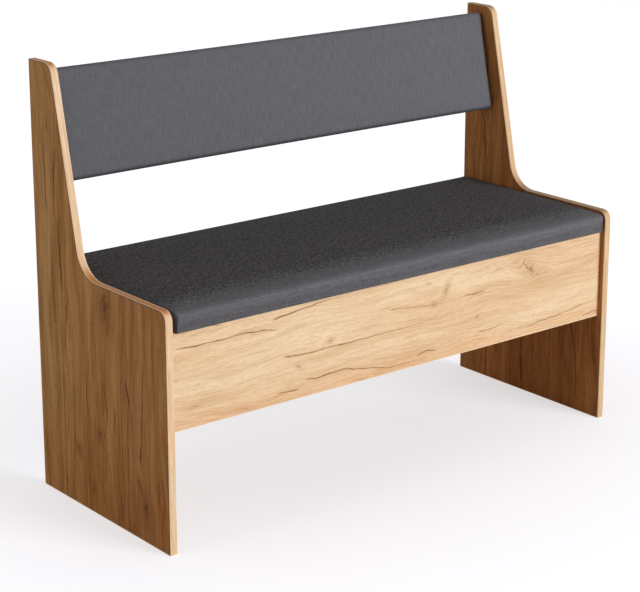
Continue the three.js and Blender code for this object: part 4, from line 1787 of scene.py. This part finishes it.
LEFT_OAK = OakDecor(
    "oak_decor_left_panel", Grain.UPRIGHT, pale="#d8a265", warm="#c48a4d", **PANEL_PRINT,
    rim_highlight_tone="#e6c79a", seams=(-67.0, 55.0, 136.0),
    # Partly painted light: the left panel's planks grow lighter from front to rear, where the
    # panel catches more light.
    planks=("#f3e9e4", "#faf2ec", "#fdf8f4", "#ffffff"), foot="#f5ece0",
    foot_fades=(20.0, 280.0),
    knots=(Knot(422, -20, 34, 16, 4, 0.95), Knot(450, -21, 8, 5), Knot(387, -26, 9, 6),
           Knot(168, 9, 11, 7), Knot(116, 88, 14, 8, 20), Knot(66, -142, 32, 13, 8),
           Knot(45, 39, 16, 6), Knot(103, -126, 18, 6, 30),
           Knot(650, 150, 34, 5, 0, 0.6), Knot(210, -44, 22, 4, 0, 0.5)),
    cracks=(((10, -60, 0), (16, -60, 2.0), (60, -58, 1.6), (75, -56, 0), (150, -126, 0),
             (160, -127, 1.6), (262, -136, 1.4), (334, -141, 1.2), (350, -142, 0),
             (420, 130, 0), (432, 130, 1.9), (500, 134, 2.2), (560, 138, 1.2),
             (572, 150, 1.2), (640, 146, 1.8), (700, 140, 1.2), (712, 166, 0),
             (740, 164, 1.6), (780, 158, 0)),
            ((14, -82, 0.8), (120, -84, 1.1), (250, -89, 1.0), (262, -92, 2.2),
             (276, -88, 3.4), (292, -84, 2.4), (304, -83, 0), (350, 158, 0),
             (365, 160, 1.5), (410, 162, 1.9), (470, 163, 1.2), (485, 163, 0)),
            ((52, 6, 0), (60, 8, 0.6), (150, 0, 0.7), (205, -18, 0.6), (215, -18, 2.0),
             (267, -10, 1.6), (280, -8, 0), (305, 128, 0), (314, 127, 1.3),
             (420, 112, 1.2), (440, 110, 0)),
            ((80, 104, 0), (90, 104, 1.1), (240, 96, 1.0), (250, 96, 0), (560, 176, 0),
             (580, 176, 1.2), (690, 180, 1.5), (705, 180, 0))),
    zone_size=(420.0, 28.0), streak_size=(120.0, 3.2), streak_strength=0.38)
RIGHT_OAK = OakDecor(
    "oak_decor_right_panel", Grain.UPRIGHT, pale="#d69253", warm="#c27e42", **PANEL_PRINT,
    seed=3.6, rim_highlight_tone="#dcb888", seams=(-67.0, 57.0, 137.0),
    planks=("#f7f0ea", "#f3ebe4", "#fffaf6", "#ffffff"), seams_fade=(300.0, 420.0),
    knots=(Knot(60, 20, 16, 6, 20, 0.7), Knot(560, 160, 20, 5), Knot(90, -120, 40, 9, 25, 0.5)),
    cracks=(((26, -150, 0), (34, -150, 1.2), (120, -146, 1.6), (190, -128, 1.4), (205, -128, 0),
             (500, 150, 0), (510, 151, 1.7), (600, 158, 1.5), (640, 176, 1.2),
             (760, 180, 1.5), (775, 180, 0)),
            ((14, 20, 0), (24, 20, 1.6), (150, 26, 1.4), (165, 26, 0))),
    zone_size=(420.0, 24.0), streak_size=(120.0, 3.2), streak_strength=0.45)
# The tones that the bands lay on their up-facing flat part are painted shade.
LEFT_BAND = EdgeBand("oak_band_left", pale="#f4d5b0", warm="#e7bd94", streak="#cb9d70",
                     arm_top_shade="#cb8030", cut="#6e4826")
# The right band's tones are darker than the left's, a painted shade.
RIGHT_BAND = EdgeBand("oak_band_right", pale="#e8c8a0", warm="#d9ae83", streak="#bb8e60",
                      arm_top_shade="#a88a68", cut="#c9a070")
# The seat's drawn tones and its flat-top tone are painted light and shade.
SEAT_CLOTH = WovenCloth(
    "anthracite_weave_seat", deep="#434144", light="#868488", folds=(8.0, 1098.0),
    drawn=(0.83, 1.05, 0.98, 0.86), gap=0.15, upright_slubs=0.05, level_slubs=0.3,
    slub_length=60.0, slub_width=2.6, mottle_size=3.8, mottle_strength=4.0, flat_top_shade="#bab4b1")
BACKREST_CLOTH = WovenCloth(
    "anthracite_weave_backrest", deep="#545459", light="#79797f", upright_slubs=0.55,
    level_slubs=0.25, slub_length=26.0, mottle_strength=0.4)
ZINC = PlatedSteel("zinc_plated_steel", tone="#c6c8ca", roughness=0.34)
DIE_CAST = PlatedSteel("zinc_die_cast", tone="#a9a9a7", roughness=0.5)


def main() -> None:
    """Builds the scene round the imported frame."""
    logging.basicConfig(level=logging.INFO, format="%(name)s: %(message)s")
    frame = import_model()
    nodes = frame["nodes"]
    Studio().build()

    low, high = node_box("seat_board")
    raw = RawChipboard("raw_chipboard", dark="#a98557", pale="#dcc296", cloth="#4c4b4f",
                       half_length=high[0], front=low[1], rear=high[1])
    SidePanels(nodes, {"left": LEFT_OAK.material(), "right": RIGHT_OAK.material()},
               {"left": LEFT_BAND.material(), "right": RIGHT_BAND.material()}).build()
    StorageBox(nodes, APRON_OAK.material(), BOARD_OAK.material(), FLOOR_OAK.material()).build()
    Upholstery(nodes, SEAT_CLOTH.material(), BACKREST_CLOTH.material()).build(raw.material())
    wire = ZINC.material()
    Staples(wire).build()
    Fittings(nodes, wire, DIE_CAST.material()).build()


if __name__ == "__main__":
    main()
